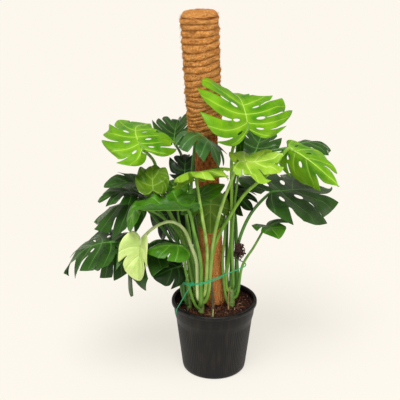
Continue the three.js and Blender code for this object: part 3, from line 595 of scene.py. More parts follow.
def vein_point(root, end, s):
    """A quadratic curve that leaves the midrib wide and bends towards the tip."""
    middle_x = (root + end[0]) / 2 - VEIN_BEND * np.abs(end[1])
    a, b, c = (1 - s) ** 2, 2 * s * (1 - s), s * s
    return a * root + b * middle_x + c * end[0], b * end[1] / 2 + c * end[1]


print("side veins in degrees:", np.degrees(half_plan(4)[0]).round().tolist())

# %% Cuts and holes
SLIT_ROUNDING = 0.35


def kept(s, cut, slit, hole, start, share):
    """The share of a half lobe that is left at s: less its hole, a half circle from HOLE_FROM to
    HOLE_TO, less its slit, which opens past the cut, and narrowed by the square of s past start."""
    opened = hole * np.sqrt(np.sin(np.pi * np.clip((s - HOLE_FROM) / (HOLE_TO - HOLE_FROM), 0, 1)))
    if cut == 1:
        return 1 - opened
    past = np.clip((s - cut) / (1 - cut), 0, 1)
    narrow = share * np.clip((s - start) / (1 - start), 0, 1) ** 2
    return (1 - np.maximum(opened, slit * past ** SLIT_ROUNDING)) * (1 - narrow)


print("left of a lobe at its end:", kept(1.0, 0.5, SLIT, 0, 0.7, PLAIN["point"]).round(2))

# %% One lobe after another
ACROSS = 7
NEAR_NARROWS, FAR_NARROWS, FAR_POINT = 0.7, 0.86, 0.05
TIP_NARROWS, TIP_POINT = 0.5, 1
NEAR_STRETCH, FAR_STRETCH, STRETCH_FROM = -0.13, 0.08, 0.62


def lobe(row, plan, i, side, s, t):
    """Flat points of lobe i on one side: each border pulls the vein's angle and root towards it.
    Past a cut the near corner is drawn in and the far one out, so that the lobe's end slants."""
    vein, root, border, border_root = plan
    cuts = CUTS[row["cuts"]]
    near, far = cuts[i - 1] if i > 0 else 1, cuts[i]
    hole_at = lambda b: row["hole"] * HOLE_SHARE[side][b] if 0 < b < len(cuts) else 0
    left = side > 0
    slit = row["slit"][0 if left else 1]
    point = row["point"] if left else PLAIN["point"]
    low = kept(s, near, slit, hole_at(i), NEAR_NARROWS, point)
    high = kept(s, far, slit, hole_at(i + 1), FAR_NARROWS, FAR_POINT)
    w = np.abs(t) * np.where(t < 0, low, high)
    k = np.where(t < 0, i, i + 1)
    angle = vein[i] + (border[k] - vein[i]) * w
    start = root[i] + (border_root[k] - root[i]) * w
    cut_here = np.where(t < 0, near < 1, far < 1)
    stretch = np.where(cut_here, 1 + np.where(t < 0, NEAR_STRETCH, FAR_STRETCH) * w, 1)
    beyond = (s - STRETCH_FROM) * (stretch - STRETCH_FROM) / (1 - STRETCH_FROM)
    reach = np.where(s > STRETCH_FROM, STRETCH_FROM + beyond, s)
    x, y = vein_point(start, rim(angle, row["width"], row["spur"] if left else 0), reach)
    return x, side * y


def tip_lobe(row, plan, s, t):
    """The last lobe straddles the midrib and narrows to nothing at its borders."""
    _, _, border, border_root = plan
    w = np.abs(t) * kept(s, CUTS[row["cuts"]][-1], SLIT, 0, TIP_NARROWS, TIP_POINT)
    x, y = vein_point(border_root[-1], rim(border[-1] * w, row["width"]), s)
    return x, np.sign(t) * y


print("points across a lobe:", 2 * ACROSS + 1)

# %% [markdown]
# ## Relief and bending
# A real blade swells between its veins, its lobes hang at their ends, and the rim of a young one
# ripples. A lattice could bend it, but 31 leaves would need as many lattices. So the relief is a
# height over the flat leaf, and the sheet is then curled by plain arcs: one along the midrib, and
# one across each half.

# %% Relief of a lobe
PUFF, HANG, HANG_FROM, TWIST = 0.02, 0.3, 0.55, 0.06
HANG_VARIES, HANG_STEP, TWIST_STEP = 0.6, 1.3, 2.1
RIPPLES_OUT, RIPPLES_ROUND, RIPPLE_RISE = 9, 7, 2.2


def relief(row, number, s, t, near, far):
    """Height above the bent sheet: the blade swells between veins, a lobe's end hangs by the
    square of s past HANG_FROM, and where its borders are cut free it turns about its own vein."""
    phase = math.radians(3 * row["turn"][0])
    past = lambda cut: np.clip((s - cut) / max(1 - cut, 1e-6), 0, 1) * (cut < 1)
    free = (past(near) * (1 - t) + past(far) * (1 + t)) / 2
    varied = 1 + HANG_VARIES * math.sin(phase + HANG_STEP * number) * free
    hang = HANG * varied * np.clip(s - HANG_FROM, 0, 1) ** 2
    turn = TWIST * math.cos(phase + TWIST_STEP * number) * t * free
    return turn - hang - PUFF * np.sin(np.pi * s) * (1 - t * t)


def wave(row, x, y, s):
    """The rim ripples: a sine of s and of the angle round the blade, growing past the middle."""
    around = np.arctan2(y, x - MIDDLE)
    ripple = np.sin(RIPPLES_OUT * s + RIPPLES_ROUND * around)
    return row["ruffle"] * ripple * np.clip(RIPPLE_RISE * s - 1, 0, 1)


print("a lobe's end hangs by", round(HANG * (1 - HANG_FROM) ** 2, 3), "of the leaf's length")

# %% Bending and placing
def bent(row, x, y, lift=0.0):
    """The midrib becomes an arc of `arch`. A half leaves it at `fold` and turns down by `droop`
    for each unit of width. The lift is added square to the midrib."""
    arch = math.radians(row["arch"])
    ahead = np.maximum(x, 0)
    left = y >= 0
    fold = np.radians(np.where(left, *row["fold"]))
    droop = 2 * np.radians(np.where(left, *row["droop"]))
    out = np.abs(y)
    sideways = (np.sin(fold) - np.sin(fold - droop * out)) / droop
    lift = (np.cos(fold - droop * out) - np.cos(fold)) / droop + lift
    along = np.where(x > 0, np.sin(arch * ahead) / arch, x)
    down = (1 - np.cos(arch * ahead)) / arch
    return np.stack([along + np.sin(arch * ahead) * lift, np.where(left, sideways, -sideways),
                     np.cos(arch * ahead) * lift - down], -1)


def leaf_axes(turn):
    """Rows: along the midrib, to its left, and out of the upper face."""
    a, p, r = np.radians(turn)
    x = np.array([math.cos(a) * math.cos(p), math.sin(a) * math.cos(p), math.sin(p)])
    level = np.array([-math.sin(a), math.cos(a), 0])
    y = level * math.cos(r) + np.cross(x, level) * math.sin(r)
    return np.array([x, y, np.cross(x, y)])


def placed(row, points):
    """Points of the unit blade at the leaf's own size, turn and place."""
    return np.array(row["at"]) + points * row["length"] @ leaf_axes(row["turn"])


crown_tip = placed(LEAVES["crown"], bent(LEAVES["crown"], np.ones(1), np.zeros(1)))[0]
print("the crown leaf ends at", crown_tip.round().tolist(), "mm")

# %% [markdown]
# ## Blade, veins and stalk
# A real blade is thin, with sunken veins above and raised ones below, and its rim waves a little.
# The upper and lower skins are the same sheet pushed apart along its normals. Solidify would give
# an even thickness, but here the upper skin sinks near a vein and the lower one rises. The value
# `rib` is the distance to the nearest vein in vein widths, so the finish can draw veins as crisp
# lines however coarse the grid is.

# %% The sheet of a blade
LARGE = 100
ROWS, SMALL_ROWS = 26, 20
CROWDED = 1.25
SIDE_VEIN, SIDE_TAPER = 1.25, 0.9
MIDDLE_VEIN, MIDDLE_TAPER = 2.1, 1.4
LINES_OUT, LINES_ROUND = 0.6, 0.55


def sheet_of(row):
    """All the lobes of one leaf: points, triangles, and at each point the distance to a vein, the
    phase of the fine side lines, and s."""
    cuts = CUTS[row["cuts"]]
    plan = half_plan(len(cuts))
    rows = np.linspace(0, 1, ROWS if row["length"] > LARGE else SMALL_ROWS)
    stops = [HOLE_FROM, HOLE_FROM + 0.02, HOLE_TO - 0.02, HOLE_TO, 0.97, 0.985]
    s_values = np.unique(np.round([*rows, *stops, *[c for c in cuts if c < 1]], 4))
    u = np.linspace(-1, 1, 2 * ACROSS + 1)
    s, t = np.meshgrid(s_values, np.sign(u) * np.abs(u) ** CROWDED, indexing="ij")
    borders = list(zip([1, *cuts[:-1]], cuts)) * 2 + [(cuts[-1], cuts[-1])]
    grids = [lobe(row, plan, i, side, s, t) for side in (1, -1) for i in range(len(cuts))]
    grids.append(tip_lobe(row, plan, s, t))
    shape, faces, rib, phase = [], [], [], []
    for number, (x, y) in enumerate(grids):
        lift = wave(row, x, y, s) + relief(row, number, s, t, *borders[number])
        shape.append(bent(row, x, y, lift).reshape(-1, 3))
        pairs = grid_faces(*s.shape) + number * s.size
        faces.append(pairs if number < len(cuts) else pairs[:, ::-1])
        vein = slice(ACROSS, ACROSS + 1)
        to_vein = np.hypot(x - x[:, vein], y - y[:, vein]) * row["length"]
        to_midrib = np.abs(y) * row["length"]
        rib.append(np.minimum(to_vein / (SIDE_VEIN - SIDE_TAPER * s),
                              to_midrib / (MIDDLE_VEIN - MIDDLE_TAPER * np.clip(x, 0, 1))).ravel())
        phase.append((s * row["length"] * LINES_OUT + to_vein * LINES_ROUND).ravel())
    points = placed(row, np.concatenate(shape))
    first, faces = weld(points, np.concatenate(faces), 0.02)
    values = {"rib": np.concatenate(rib), "phase": np.concatenate(phase),
              "reach": np.tile(s.ravel(), len(grids))}
    return points[first], faces, {name: value[first] for name, value in values.items()}


print("the crown leaf's sheet has", len(sheet_of(LEAVES["crown"])[1]), "triangles")

# %% The blade's two skins
VEIN_SUNK, VEIN_RAISED, VEIN_SPREAD = 0.25, 0.55, 1.1


def blade(row):
    """The sheet's two skins and the wall along every edge that only one triangle uses."""
    points, faces, values = sheet_of(row)
    corner = points[faces]
    normal = np.cross(corner[:, 1] - corner[:, 0], corner[:, 2] - corner[:, 0])
    normals = np.zeros_like(points)
    for k in range(3):
        np.add.at(normals, faces[:, k], normal)
    normals /= np.linalg.norm(normals, axis=1, keepdims=True) + 1e-12
    near = np.exp(-(values["rib"] / VEIN_SPREAD) ** 2)[:, None]
    upper = points + normals * (BLADE_THICKNESS / 2 - VEIN_SUNK * near)
    lower = points - normals * (BLADE_THICKNESS / 2 + VEIN_RAISED * near)
    count = len(points)
    edges = np.concatenate([faces[:, [0, 1]], faces[:, [1, 2]], faces[:, [2, 0]]])
    key = edges[:, 0] * count + edges[:, 1]
    a, b = edges[~np.isin(key, edges[:, 1] * count + edges[:, 0])].T
    walls = np.concatenate([np.stack([b, a, a + count], -1),
                            np.stack([b, a + count, b + count], -1)])
    skins = np.concatenate([faces, faces[:, ::-1] + count, walls])
    both = np.concatenate([upper, lower])
    values = {name: np.tile(value, 2) for name, value in values.items()}
    return both, turned_outward(both, skins), {**values, "skin": np.repeat([0.0, 1.0], count)}


print("the crown leaf's blade has", len(blade(LEAVES["crown"])[1]), "triangles")

# %% Stalk and midrib
STALK_RINGS = 70
KNEE_AT, KNEE_SWELL, KNEE_SPREAD = 0.93, 0.22, 0.03
GROOVE_DEPTH, GROOVE_SPREAD = 0.13, 0.45
LEAVE_OUT, LEAVE_UP = 5, 12
STALK_FOOT, STALK_TAPER, STALK_END = 1.12, 0.34, 0.7
MIDRIB_FOOT, MIDRIB_TAPER = 2.3, 1.9
SMALL_STALK, SMALL_MIDRIB = 0.8, 0.7


def stalk(row):
    """A spline from the stem past its via points, ending under the midrib. It tapers, thickens at
    the knee just before the blade, and carries a groove along one side."""
    foot, top, radius = (np.array(v, float) for v in STEMS[row["stem"]])
    start = foot + (top - foot) * (row["height"] - foot[2]) / (top[2] - foot[2])
    side = math.radians(row["side"])
    outward = np.array([math.cos(side), math.sin(side), 0])
    leave = start + outward * (radius + LEAVE_OUT) + [0, 0, LEAVE_UP]
    x = np.array([0, 0.08, 0.16])
    under = bent(row, x, 0 * x) - [0, 0, 0.3 * STALK_RADIUS / row["length"]]
    line = spline([start, leave, *row["via"], *placed(row, under)], STALK_RINGS)
    share = np.linspace(0, 1, STALK_RINGS)
    size = 1 if row["length"] > LARGE else SMALL_STALK
    knee = 1 + KNEE_SWELL * np.exp(-((share - KNEE_AT) / KNEE_SPREAD) ** 2)
    taper = STALK_FOOT - STALK_TAPER * share
    thick = size * STALK_RADIUS * taper * knee * np.where(share > 0.98, STALK_END, 1)
    groove = lambda s, a: 1 - GROOVE_DEPTH * np.exp(-((a - np.pi) / GROOVE_SPREAD) ** 2)
    return tube(line, thick, 14, groove, rib=9.0, phase=0.0, reach=0.0, skin=2.0)


def midrib(row):
    """A tapering tube just below the blade, from the stalk nearly to the tip."""
    x = np.linspace(0.06, 0.95, 40)
    y = np.zeros_like(x)
    cuts = CUTS[row["cuts"]]
    root = half_plan(len(cuts))[3][-1]
    s = np.clip((x - root) / (1 - root), 0, 1)
    lift = wave(row, x, y, s) + relief(row, 2 * len(cuts), s, y, cuts[-1], cuts[-1])
    below = bent(row, x, y, lift)
    below[:, 2] -= (0.9 - 0.5 * x) / row["length"]
    size = 1 if row["length"] > LARGE else SMALL_MIDRIB
    thick = size * (MIDRIB_FOOT - MIDRIB_TAPER * x)
    return tube(placed(row, below), thick, 8, rib=0.0, phase=0.0, reach=0.0, skin=1.0)


stalk_line = stalk(LEAVES["crown"])[0].reshape(STALK_RINGS, -1, 3).mean(1)
stalk_length = np.linalg.norm(np.diff(stalk_line, axis=0), axis=1).sum()
print("the crown leaf's stalk is", round(stalk_length), "mm long")

# %% [markdown]
# ## Leaf colours
# Young leaves are lime green and soft, old ones dark and glossy, and the newest is almost cream.
# Each could have a painted picture, but that would tie it to one shape. So one recipe makes them
# all from values at the points: a face colour mottled with a lighter one, lighter still beside the
# veins and towards the rim, pale veins, a duller and paler underside, and a lighter streaked stalk.
# The blade is quilted between its veins, by a bump. A little subsurface light stands for the glow
# of light that passes through the blade.

# %% Leaf finishes
# Face, lighter patch, underside, vein, stalk; roughness, glow and gloss.
TONES = {
    "leaf_lime": ("#3c7c02", "#84b616", "#5c9420", "#b0d858", "#669632", 0.34, 0.06, 0.16),
    "leaf_yellow": ("#6c9c0c", "#a8cc3c", "#8cb438", "#d0e48c", "#729e38", 0.38, 0.1, 0.16),
    "leaf_pale": ("#b0cc70", "#dcea9e", "#c8d98c", "#98ba58", "#d2e0a4", 0.45, 0.1, 0.2),
    "leaf_fresh": ("#225404", "#4f8a16", "#48802e", "#84b04c", "#5a8a30", 0.32, 0.04, 0.22),
    "leaf_olive": ("#386000", "#66881c", "#5c8026", "#8cac4a", "#64903a", 0.34, 0.04, 0.2),
    "leaf_glossy": ("#1f4516", "#4a7638", "#3c6838", "#6a9a58", "#5a8a38", 0.24, 0.02, 0.28),
    "leaf_dark": ("#0f2e05", "#36601c", "#305a26", "#5e8c40", "#4e8232", 0.27, 0.02, 0.24),
    "leaf_deep": ("#081e05", "#1c380e", "#244a1e", "#40702e", "#406c2c", 0.3, 0.01, 0.2),
}


def leaf_finish(name, face, patch, under, vein, stem, roughness, glow, gloss):
    """The face with its patches, then fine lines and veins, then underside and stalk by `skin`."""
    f = Finish(name, roughness=roughness, Subsurface_Weight=glow, Subsurface_Scale=0.004,
               Specular_IOR_Level=gloss)
    f.shader.inputs["Subsurface Radius"].default_value = (0.5, 1.0, 0.2)
    skin = f.value("skin")
    rib = f.value("rib")
    mottle = f.math("ADD", f.math("MULTIPLY", f.noise(22, 5), 0.6), f.ramp(rib, 1, 9, 0.4, 0))
    lines = f.math("SINE", f.math("MULTIPLY", f.value("phase"), 1.9))
    top = f.mix(mottle, face, patch)
    top = f.mix(f.ramp(f.value("reach"), 0.45, 1, 0, 0.35), top, patch)
    top = f.mix(f.ramp(lines, 0.75, 1, 0, 0.16), top, vein)
    below = f.mix(f.math("MULTIPLY", mottle, 0.5), under, face)
    blade_colour = f.mix(f.ramp(skin, 0.4, 0.6), top, below)
    veined = f.mix(f.ramp(rib, 0.35, 1.15, 0.85, 0), blade_colour, vein)
    streaks = f.noise(90, 3, stretch=(1, 1, 0.12))
    stalk_colour = f.mix(f.math("MULTIPLY", streaks, 0.55), stem, vein)
    f.colour(f.mix(f.ramp(skin, 1.4, 1.6), veined, stalk_colour))
    quilt = f.math("ADD", f.ramp(rib, 0.5, 8, 0, 4), f.math("MULTIPLY", lines, 0.25))
    f.height(f.math("ADD", quilt, f.noise(160, 3)), 0.35, 0.7)
    return f.material


for slot_name, tone in TONES.items():
    FINISH[slot_name] = leaf_finish(slot_name, *tone)
print("leaf finishes:", len(TONES))

# %% Every leaf
triangles = 0
for name, row in LEAVES.items():
    made = piece(f"{name}_leaf", [blade(row), stalk(row), midrib(row)], [f"leaf_{name}"])
    triangles += len(made.data.polygons)
print("leaves:", len(LEAVES), "triangles:", triangles)

# %% [markdown]
# ## Stems and what has dried
# The stems are short and fleshy, ringed where old leaves fell, and browner on those rings. A dead
# stalk, a young shoot and a papery sheath stand among them. A tuft of dried roots hangs on the
# right. All are tubes: a plain cylinder would do for a stem, but its scars have to swell the
# outline, so the radius follows them. The roots wander by random bows from head to tail.

# %% Finishes of stems and dry parts
stem = Finish("stem_skin", roughness=0.5)
ringed = stem.mix(stem.noise(60, 4, stretch=(1, 1, 0.5)), "#4f7a35", "#86a556")
stem.colour(stem.mix(stem.ramp(stem.value("ring"), 0.2, 0.9), ringed, "#8a7a4a"))
stem.height(stem.noise(300), 0.4)
FINISH["stem"] = stem.material

for slot_name, colours in {
    "dead_stalk": ("#4b4434", "#8a7d5e"), "shoot": ("#9fb562", "#c6d391"),
    "sheath": ("#7c6a3e", "#b49c68"), "dried_root": ("#24130d", "#4f2f22"),
}.items():
    dry = Finish(slot_name, roughness=0.8)
    dry.colour(dry.mix(dry.noise(120, 5, stretch=(1, 1, 0.2)), *colours))
    dry.height(dry.noise(400, 4, stretch=(1, 1, 0.3)), 0.5)
    FINISH[slot_name] = dry.material
print("finishes so far:", len(FINISH))

# %% Stems
STEM_RINGS = 80
SCAR_EVERY, SCAR_WIDTH, SCAR_RISE = 17, 1.6, 0.7


def stem_shell(foot, top, radius):
    """A tube that tapers by the square of its share and is rounded off by a root at its end; its
    radius swells by a bell curve at each ring scar."""
    line = spline([foot, np.add(foot, top) / 2, top], STEM_RINGS)
    ring = np.exp(-((line[:, 2] % SCAR_EVERY - SCAR_EVERY // 2) / SCAR_WIDTH) ** 2)
    share = np.linspace(0, 1, STEM_RINGS)
    rounded = np.sqrt(np.clip((1 - share) / 0.05, 0.02, 1))
    thick = radius * (1 - 0.15 * share**2) * rounded + SCAR_RISE * ring - 0.3
    return tube(line, thick, 20, ring=ring)


for name, (foot, top, radius) in STEMS.items():
    piece(f"{name}_stem", [stem_shell(foot, top, radius)], [f"stem_{name}"])
print("stems:", len(STEMS))

# %% Dead stalk, shoot and sheath
REMAIN_RINGS = 50
REMAINS = {
    "old_stalk": ([(-4, -46, 178), (-5, -47, 250), (-7, -48, 294)], 5, 0.25),
    "young_shoot": ([(-5, -86, 180), (-5, -88, 205), (-4, -89, 222)], 3, 0.06),
    "dry_sheath": ([(40, -44, 178), (38, -43, 230), (41, -44, 268)], 3, 0.35),
}
for name, (points, radius, rough) in REMAINS.items():
    ridges = lambda s, a: 1 - rough * (0.5 + 0.5 * np.sin(3 * a + 9 * s)) - 0.1 * np.sin(40 * s)
    thick = radius * (1 - 0.45 * np.linspace(0, 1, REMAIN_RINGS))
    piece(f"{name}_skin", [tube(spline(points, REMAIN_RINGS), thick, 16, ridges)], [name])
print("dry and young parts:", ", ".join(REMAINS))

# %% Dried roots
def wander(starts, ends, count, sag, spread):
    """Lines from starts to ends that bow by a random amount and wriggle by a few sines."""
    share = np.linspace(0, 1, count)[None, :, None]
    n = len(starts)
    straight = starts[:, None] * (1 - share) + ends[:, None] * share
    bow = rng.normal(0, spread, (n, 1, 3)) * np.sin(np.pi * share)
    wriggle = rng.normal(0, spread / 4, (n, 1, 3)) * np.sin(rng.uniform(6, 14, (n, 1, 1)) * share)
    straight[..., 2] -= sag * np.sin(np.pi * share[..., 0])
    return straight + bow + wriggle


TUFT_MIDDLE = np.array([68, -44, 377])
TUFT_SIZE = np.array([13, 9, 25])
TUFT_LIMIT = 1.25 * TUFT_SIZE
ROOTS, THINNEST_ROOT, THICKEST_ROOT = 80, 0.8, 2.1
heads = TUFT_MIDDLE + rng.normal(0, 0.45, (ROOTS, 3)) * TUFT_SIZE
tails = TUFT_MIDDLE + rng.normal(0, 0.55, (ROOTS, 3)) * TUFT_SIZE
roots = wander(heads, tails, count=12, sag=0, spread=4)
roots = TUFT_MIDDLE + np.clip(roots - TUFT_MIDDLE, -TUFT_LIMIT, TUFT_LIMIT)
root_radius = rng.uniform(THINNEST_ROOT, THICKEST_ROOT, (ROOTS, 1))
piece("root_tuft_roots", [tube(roots, root_radius, 6)], ["root_tuft"])
print("dried roots:", ROOTS)

# %% [markdown]
# ## The coir pole
# Shade is painted into the coir: darker in the creases, under the hem and where leaves shade the
# lower wrap.
# The lower pole is a thin, reddish coir wrap. The upper sleeve is a thick golden one, wound in
# turns of uneven width that bulge between deep creases. Its form is a profile turned round the
# pole's axis: every turn is an arch between two crease heights, and lumps break it up. Hair
# particles would give the loose fibres, but the export drops them, so each is a thin, bent tube.
# The wooden stake inside keeps its plain solid and gets a finish, because no side shows it.

# %% Coir finishes
def coir_finish(name, dark, middle, light):
    """Three browns by two scales of noise, with a coarse fibrous height."""
    f = Finish(name, roughness=0.95, Specular_IOR_Level=0.2)
    strand = f.noise(330, 5, stretch=(1, 1, 1.3), low=0.4, high=0.6)
    colour = f.mix(strand, middle, light)
    colour = f.mix(f.noise(520, 3, low=0.56, high=0.66), colour, dark)
    # Painted shade: this value darkens the coir towards the dark brown in creases, under the hem,
    # on the dome and where leaves shade the lower wrap; on loose fibres it is a random tone.
    f.colour(f.mix(f.ramp(f.value("crease"), 0.25, 1.0, 0, 0.85), colour, dark))
    f.height(f.math("ADD", strand, f.noise(900, 5)), 1.2)
    return f.material


FINISH["coir_new"] = coir_finish("coir_new", "#6a2800", "#e08428", "#ffc478")
FINISH["coir_old"] = coir_finish("coir_old", "#8e340c", "#ff8a2e", "#ffc67c")
print("finishes so far:", len(FINISH))

# %% The pole's axis
POLE_FOOT = np.array([6, 5, 60.0])
POLE_TOP = np.array([-43, 20, 1013.0])
SLEEVE_LENGTH = 322
SLEEVE_RADIUS = 48
COIR_RADIUS = 32
pole = POLE_TOP - POLE_FOOT
POLE_LENGTH = np.linalg.norm(pole)
pole /= POLE_LENGTH
pole_side = np.cross([0, 1, 0], pole)
pole_side /= np.linalg.norm(pole_side)
pole_front = np.cross(pole, pole_side)


def round_pole(radius, height, angle):
    """A point at that radius and angle round the pole, at that height along it."""
    across, ahead = radius * np.cos(angle), radius * np.sin(angle)
    ring = pole_side * across[..., None] + pole_front * ahead[..., None]
    return POLE_FOOT + pole * height[..., None] + ring


print("pole length:", round(POLE_LENGTH), "mm")

# %% The sleeve's turns
CREASES = np.array([0, 13, 25, 34, 46, 57, 69, 80, 94, 107, 121, 133, 150, 166, 184, 200, 219, 238,
                    255, 274, 290, 304])
HEM = POLE_LENGTH - SLEEVE_LENGTH
POLE_SIDES = 120
TURN_RISE = 4.4
DOME, DOME_RINGS, DOME_PAINTED_SHADE = 17, 23, 0.35
HEM_THICK = 3.0


def turns(height):
    """Arch height between the two creases round this height: 0 on the creases, 1 half way."""
    i = np.clip(np.searchsorted(CREASES, height, side="right") - 1, 0, len(CREASES) - 2)
    share = np.clip((height - CREASES[i]) / (CREASES[i + 1] - CREASES[i]), 0, 1)
    return np.sqrt(np.sin(np.pi * share) + 1e-9)


angle = np.linspace(0, 2 * np.pi, POLE_SIDES, endpoint=False)
rise = np.linspace(0, SLEEVE_LENGTH - DOME, 230)
h, a = np.meshgrid(rise, angle, indexing="ij")
# Lumps in mm: slow ones shift the creases up and down, finer ones roughen the turns.
level_top = np.clip((SLEEVE_LENGTH - h) / 60 - 0.3, 0, 1)
slant = -5.0 * np.cos(a + 0.3) * level_top + 3.2 * lumps(a, h, 3, 70)
arch = turns(np.clip(h + slant, 0, CREASES[-1]))
core = SLEEVE_RADIUS - 6.5 + 4 * h / SLEEVE_LENGTH
radius = core + TURN_RISE * arch + 1.7 * lumps(a, h, 9, 22) + 0.7 * lumps(a, h, 40, 6)
print("sleeve radius from", round(radius.min()), "to", round(radius.max()), "mm")

# %% The sleeve's top and hem
curve = np.linspace(0, 1, DOME_RINGS + 1)[1:, None] * np.pi / 2
dome_radius = radius[-1] * np.cos(curve) ** 0.6
dome_height = rise[-1] + DOME * np.sin(curve)
dome_angle = np.broadcast_to(angle, dome_radius.shape)
dome_height = dome_height + 1.1 * lumps(dome_angle, dome_radius, 6, 14)
hem_radius = np.array([[0.02], [33.5]]) * np.ones(POLE_SIDES)
all_radius = np.concatenate([hem_radius, radius, dome_radius])
all_height = np.concatenate([np.full_like(hem_radius, HEM_THICK), h, dome_height]) + HEM
# Painted shade: darkest under the hem, darker in each crease where the arch falls, and a fixed
# share on the dome.
all_crease = np.concatenate([np.ones_like(hem_radius), 1 - arch,
                             np.full_like(dome_radius, DOME_PAINTED_SHADE)])
points = round_pole(all_radius, all_height, np.broadcast_to(angle, all_radius.shape))
sleeve = shell(points.reshape(-1, 3), grid_faces(*all_radius.shape, closed=True),
               crease=all_crease.ravel())
print("sleeve turns:", len(CREASES) - 1, "corners:", len(sleeve[0]))

# %% Loose fibres
SLEEVE_FIBRES, LOWER_FIBRES = 2600, 1500
THINNEST, THICKEST = 0.16, 0.34
SWEEP_RADIUS = 45


def fibres(count, radius_at, low, high, length, lift, slope):
    """Short hairs that start on the coir, run mostly round it and bow away from it by a sine."""
    angle = rng.uniform(0, 2 * np.pi, count)
    height = rng.uniform(low, high, count)
    sweep = rng.normal(0, 1, count) * length / SWEEP_RADIUS
    climb = rng.normal(0, slope, count) * length
    share = np.linspace(0, 1, 5)[None, :]
    peak = np.abs(rng.normal(0, lift, count))[:, None]
    out = peak * np.sin(np.pi * share * rng.uniform(0.5, 1, (count, 1)))
    a = angle[:, None] + sweep[:, None] * share
    z = np.clip(height[:, None] + climb[:, None] * share, low, high)
    lines = round_pole(radius_at(z) + out, z, a)
    thick = rng.uniform(THINNEST, THICKEST, (count, 1))
    return tube(lines, thick, 3, crease=rng.uniform(0, 0.5, (count, 1)))


sleeve_surface = lambda z: SLEEVE_RADIUS - 4 + 4 * (z - HEM) / SLEEVE_LENGTH
hairs = fibres(SLEEVE_FIBRES, sleeve_surface, HEM, POLE_LENGTH - 10, length=16, lift=2.4,
               slope=0.25)
piece("pole_sleeve_coir", [sleeve, hairs], ["pole_sleeve"])
print("loose fibres on the sleeve:", SLEEVE_FIBRES)

# %% The lower coir
NET_STRANDS, NET_SLOPE = 12, 5.5
# Along the pole: where it leaves the soil, and where painted shade begins, for the leaves that
# shade it from there up.
OUT_OF_SOIL = 136
SHADE_FROM, SHADE_OVER = 380, 90
rise = np.linspace(0, POLE_LENGTH - 20, 300)
h, a = np.meshgrid(rise, angle, indexing="ij")
net = np.maximum(np.cos(NET_STRANDS * a + h / NET_SLOPE), np.cos(NET_STRANDS * a - h / NET_SLOPE))
radius = COIR_RADIUS - 1 + 1.1 * lumps(a, h, 6, 60) + 0.5 * net + 0.5 * lumps(a, h, 50, 7)
radius[[0, -1]] = 0.02
# Painted shade: the coir is darker between the net's strands, and darkens from SHADE_FROM up, where
# leaves shade the wrap.
shaded = np.clip((h - SHADE_FROM) / SHADE_OVER, 0, 1)
lower = shell(round_pole(radius, h, a).reshape(-1, 3), grid_faces(*h.shape, closed=True),
              crease=(0.2 - 0.2 * net + 0.7 * shaded).ravel())
lower_surface = lambda z: np.full_like(z, COIR_RADIUS - 0.5)
hairs = fibres(LOWER_FIBRES, lower_surface, OUT_OF_SOIL, HEM, length=14, lift=1.6, slope=0.5)
piece("pole_coir_wrap", [lower, hairs], ["pole_coir"])
print("loose fibres on the lower coir:", LOWER_FIBRES)

# %% The stake
def dress(node, material):
    """The CAD node stays in view, with this material in place of its plain one."""
    materials = frame["nodes"][node].data.materials
    materials.clear()
    materials.append(material)
    print("dressed in place:", node)


wood = Finish("stake_wood", roughness=0.8)
wood.colour(wood.mix(wood.noise(80, 6, stretch=(1, 1, 0.06)), "#6d4c2b", "#a5804f"))
wood.height(wood.noise(160, 4, stretch=(1, 1, 0.05)), 0.4)
dress("pole_stake", wood.material)

# %% [markdown]
# ## The pot
# A moulded plastic nursery pot: a flat base, a tapered wall with fine upright flutes, a plain
# collar under a rolled rim. Blender's Screw or Spin could turn the profile, but a grid lets the
# flutes be added to the radius: a small wave round the angle that fades out at the foot and under
# the collar. The plain solid stays in view below the wall, for its floor and drain holes.

# %% Pot finish
black = Finish("black_plastic", roughness=0.42, Specular_IOR_Level=0.26)
# Faint warm-brown upright streaks over the black, from noise stretched along the height.
brown_streaks = black.noise(70, 4, stretch=(1, 1, 0.12), low=0.5, high=0.7)
black.colour(black.mix(black.math("MULTIPLY", brown_streaks, 0.5), "#090909", "#2c241d"))
black.height(black.noise(600, 3), 0.12)
FINISH["pot"] = black.material
dress("pot", black.material)

# %% Pot profile
POT_RIM, POT_BASE = 120, 88
BODY_TOP, BODY_HEIGHT = POT_RIM - 12.5, 167
COLLAR = POT_RIM - 7
OUTSIDE = [
    (POT_BASE - 5.4, 0.3), (POT_BASE - 1.5, 1.6), (POT_BASE + 1.2, 5), (POT_BASE + 2.4, 11),
    (POT_BASE + 3.3, 22), (BODY_TOP - 2.2, 140), (BODY_TOP - 0.9, 150), (BODY_TOP + 1.6, 161),
    (COLLAR - 1.2, 171), (COLLAR + 0.1, 182), (COLLAR + 0.5, 199.6), (POT_RIM - 0.9, 201),
    (POT_RIM + 0.4, 203), (POT_RIM + 0.4, 208.5), (POT_RIM - 0.6, 211), (POT_RIM - 2.6, 212.3),
]
INSIDE = [
    (POT_RIM - 6, 212.1), (POT_RIM - 8.8, 209), (COLLAR - 2.6, 201), (COLLAR - 2.9, 186),
    (COLLAR - 3.6, 180), (COLLAR - 3.0, 175),
]


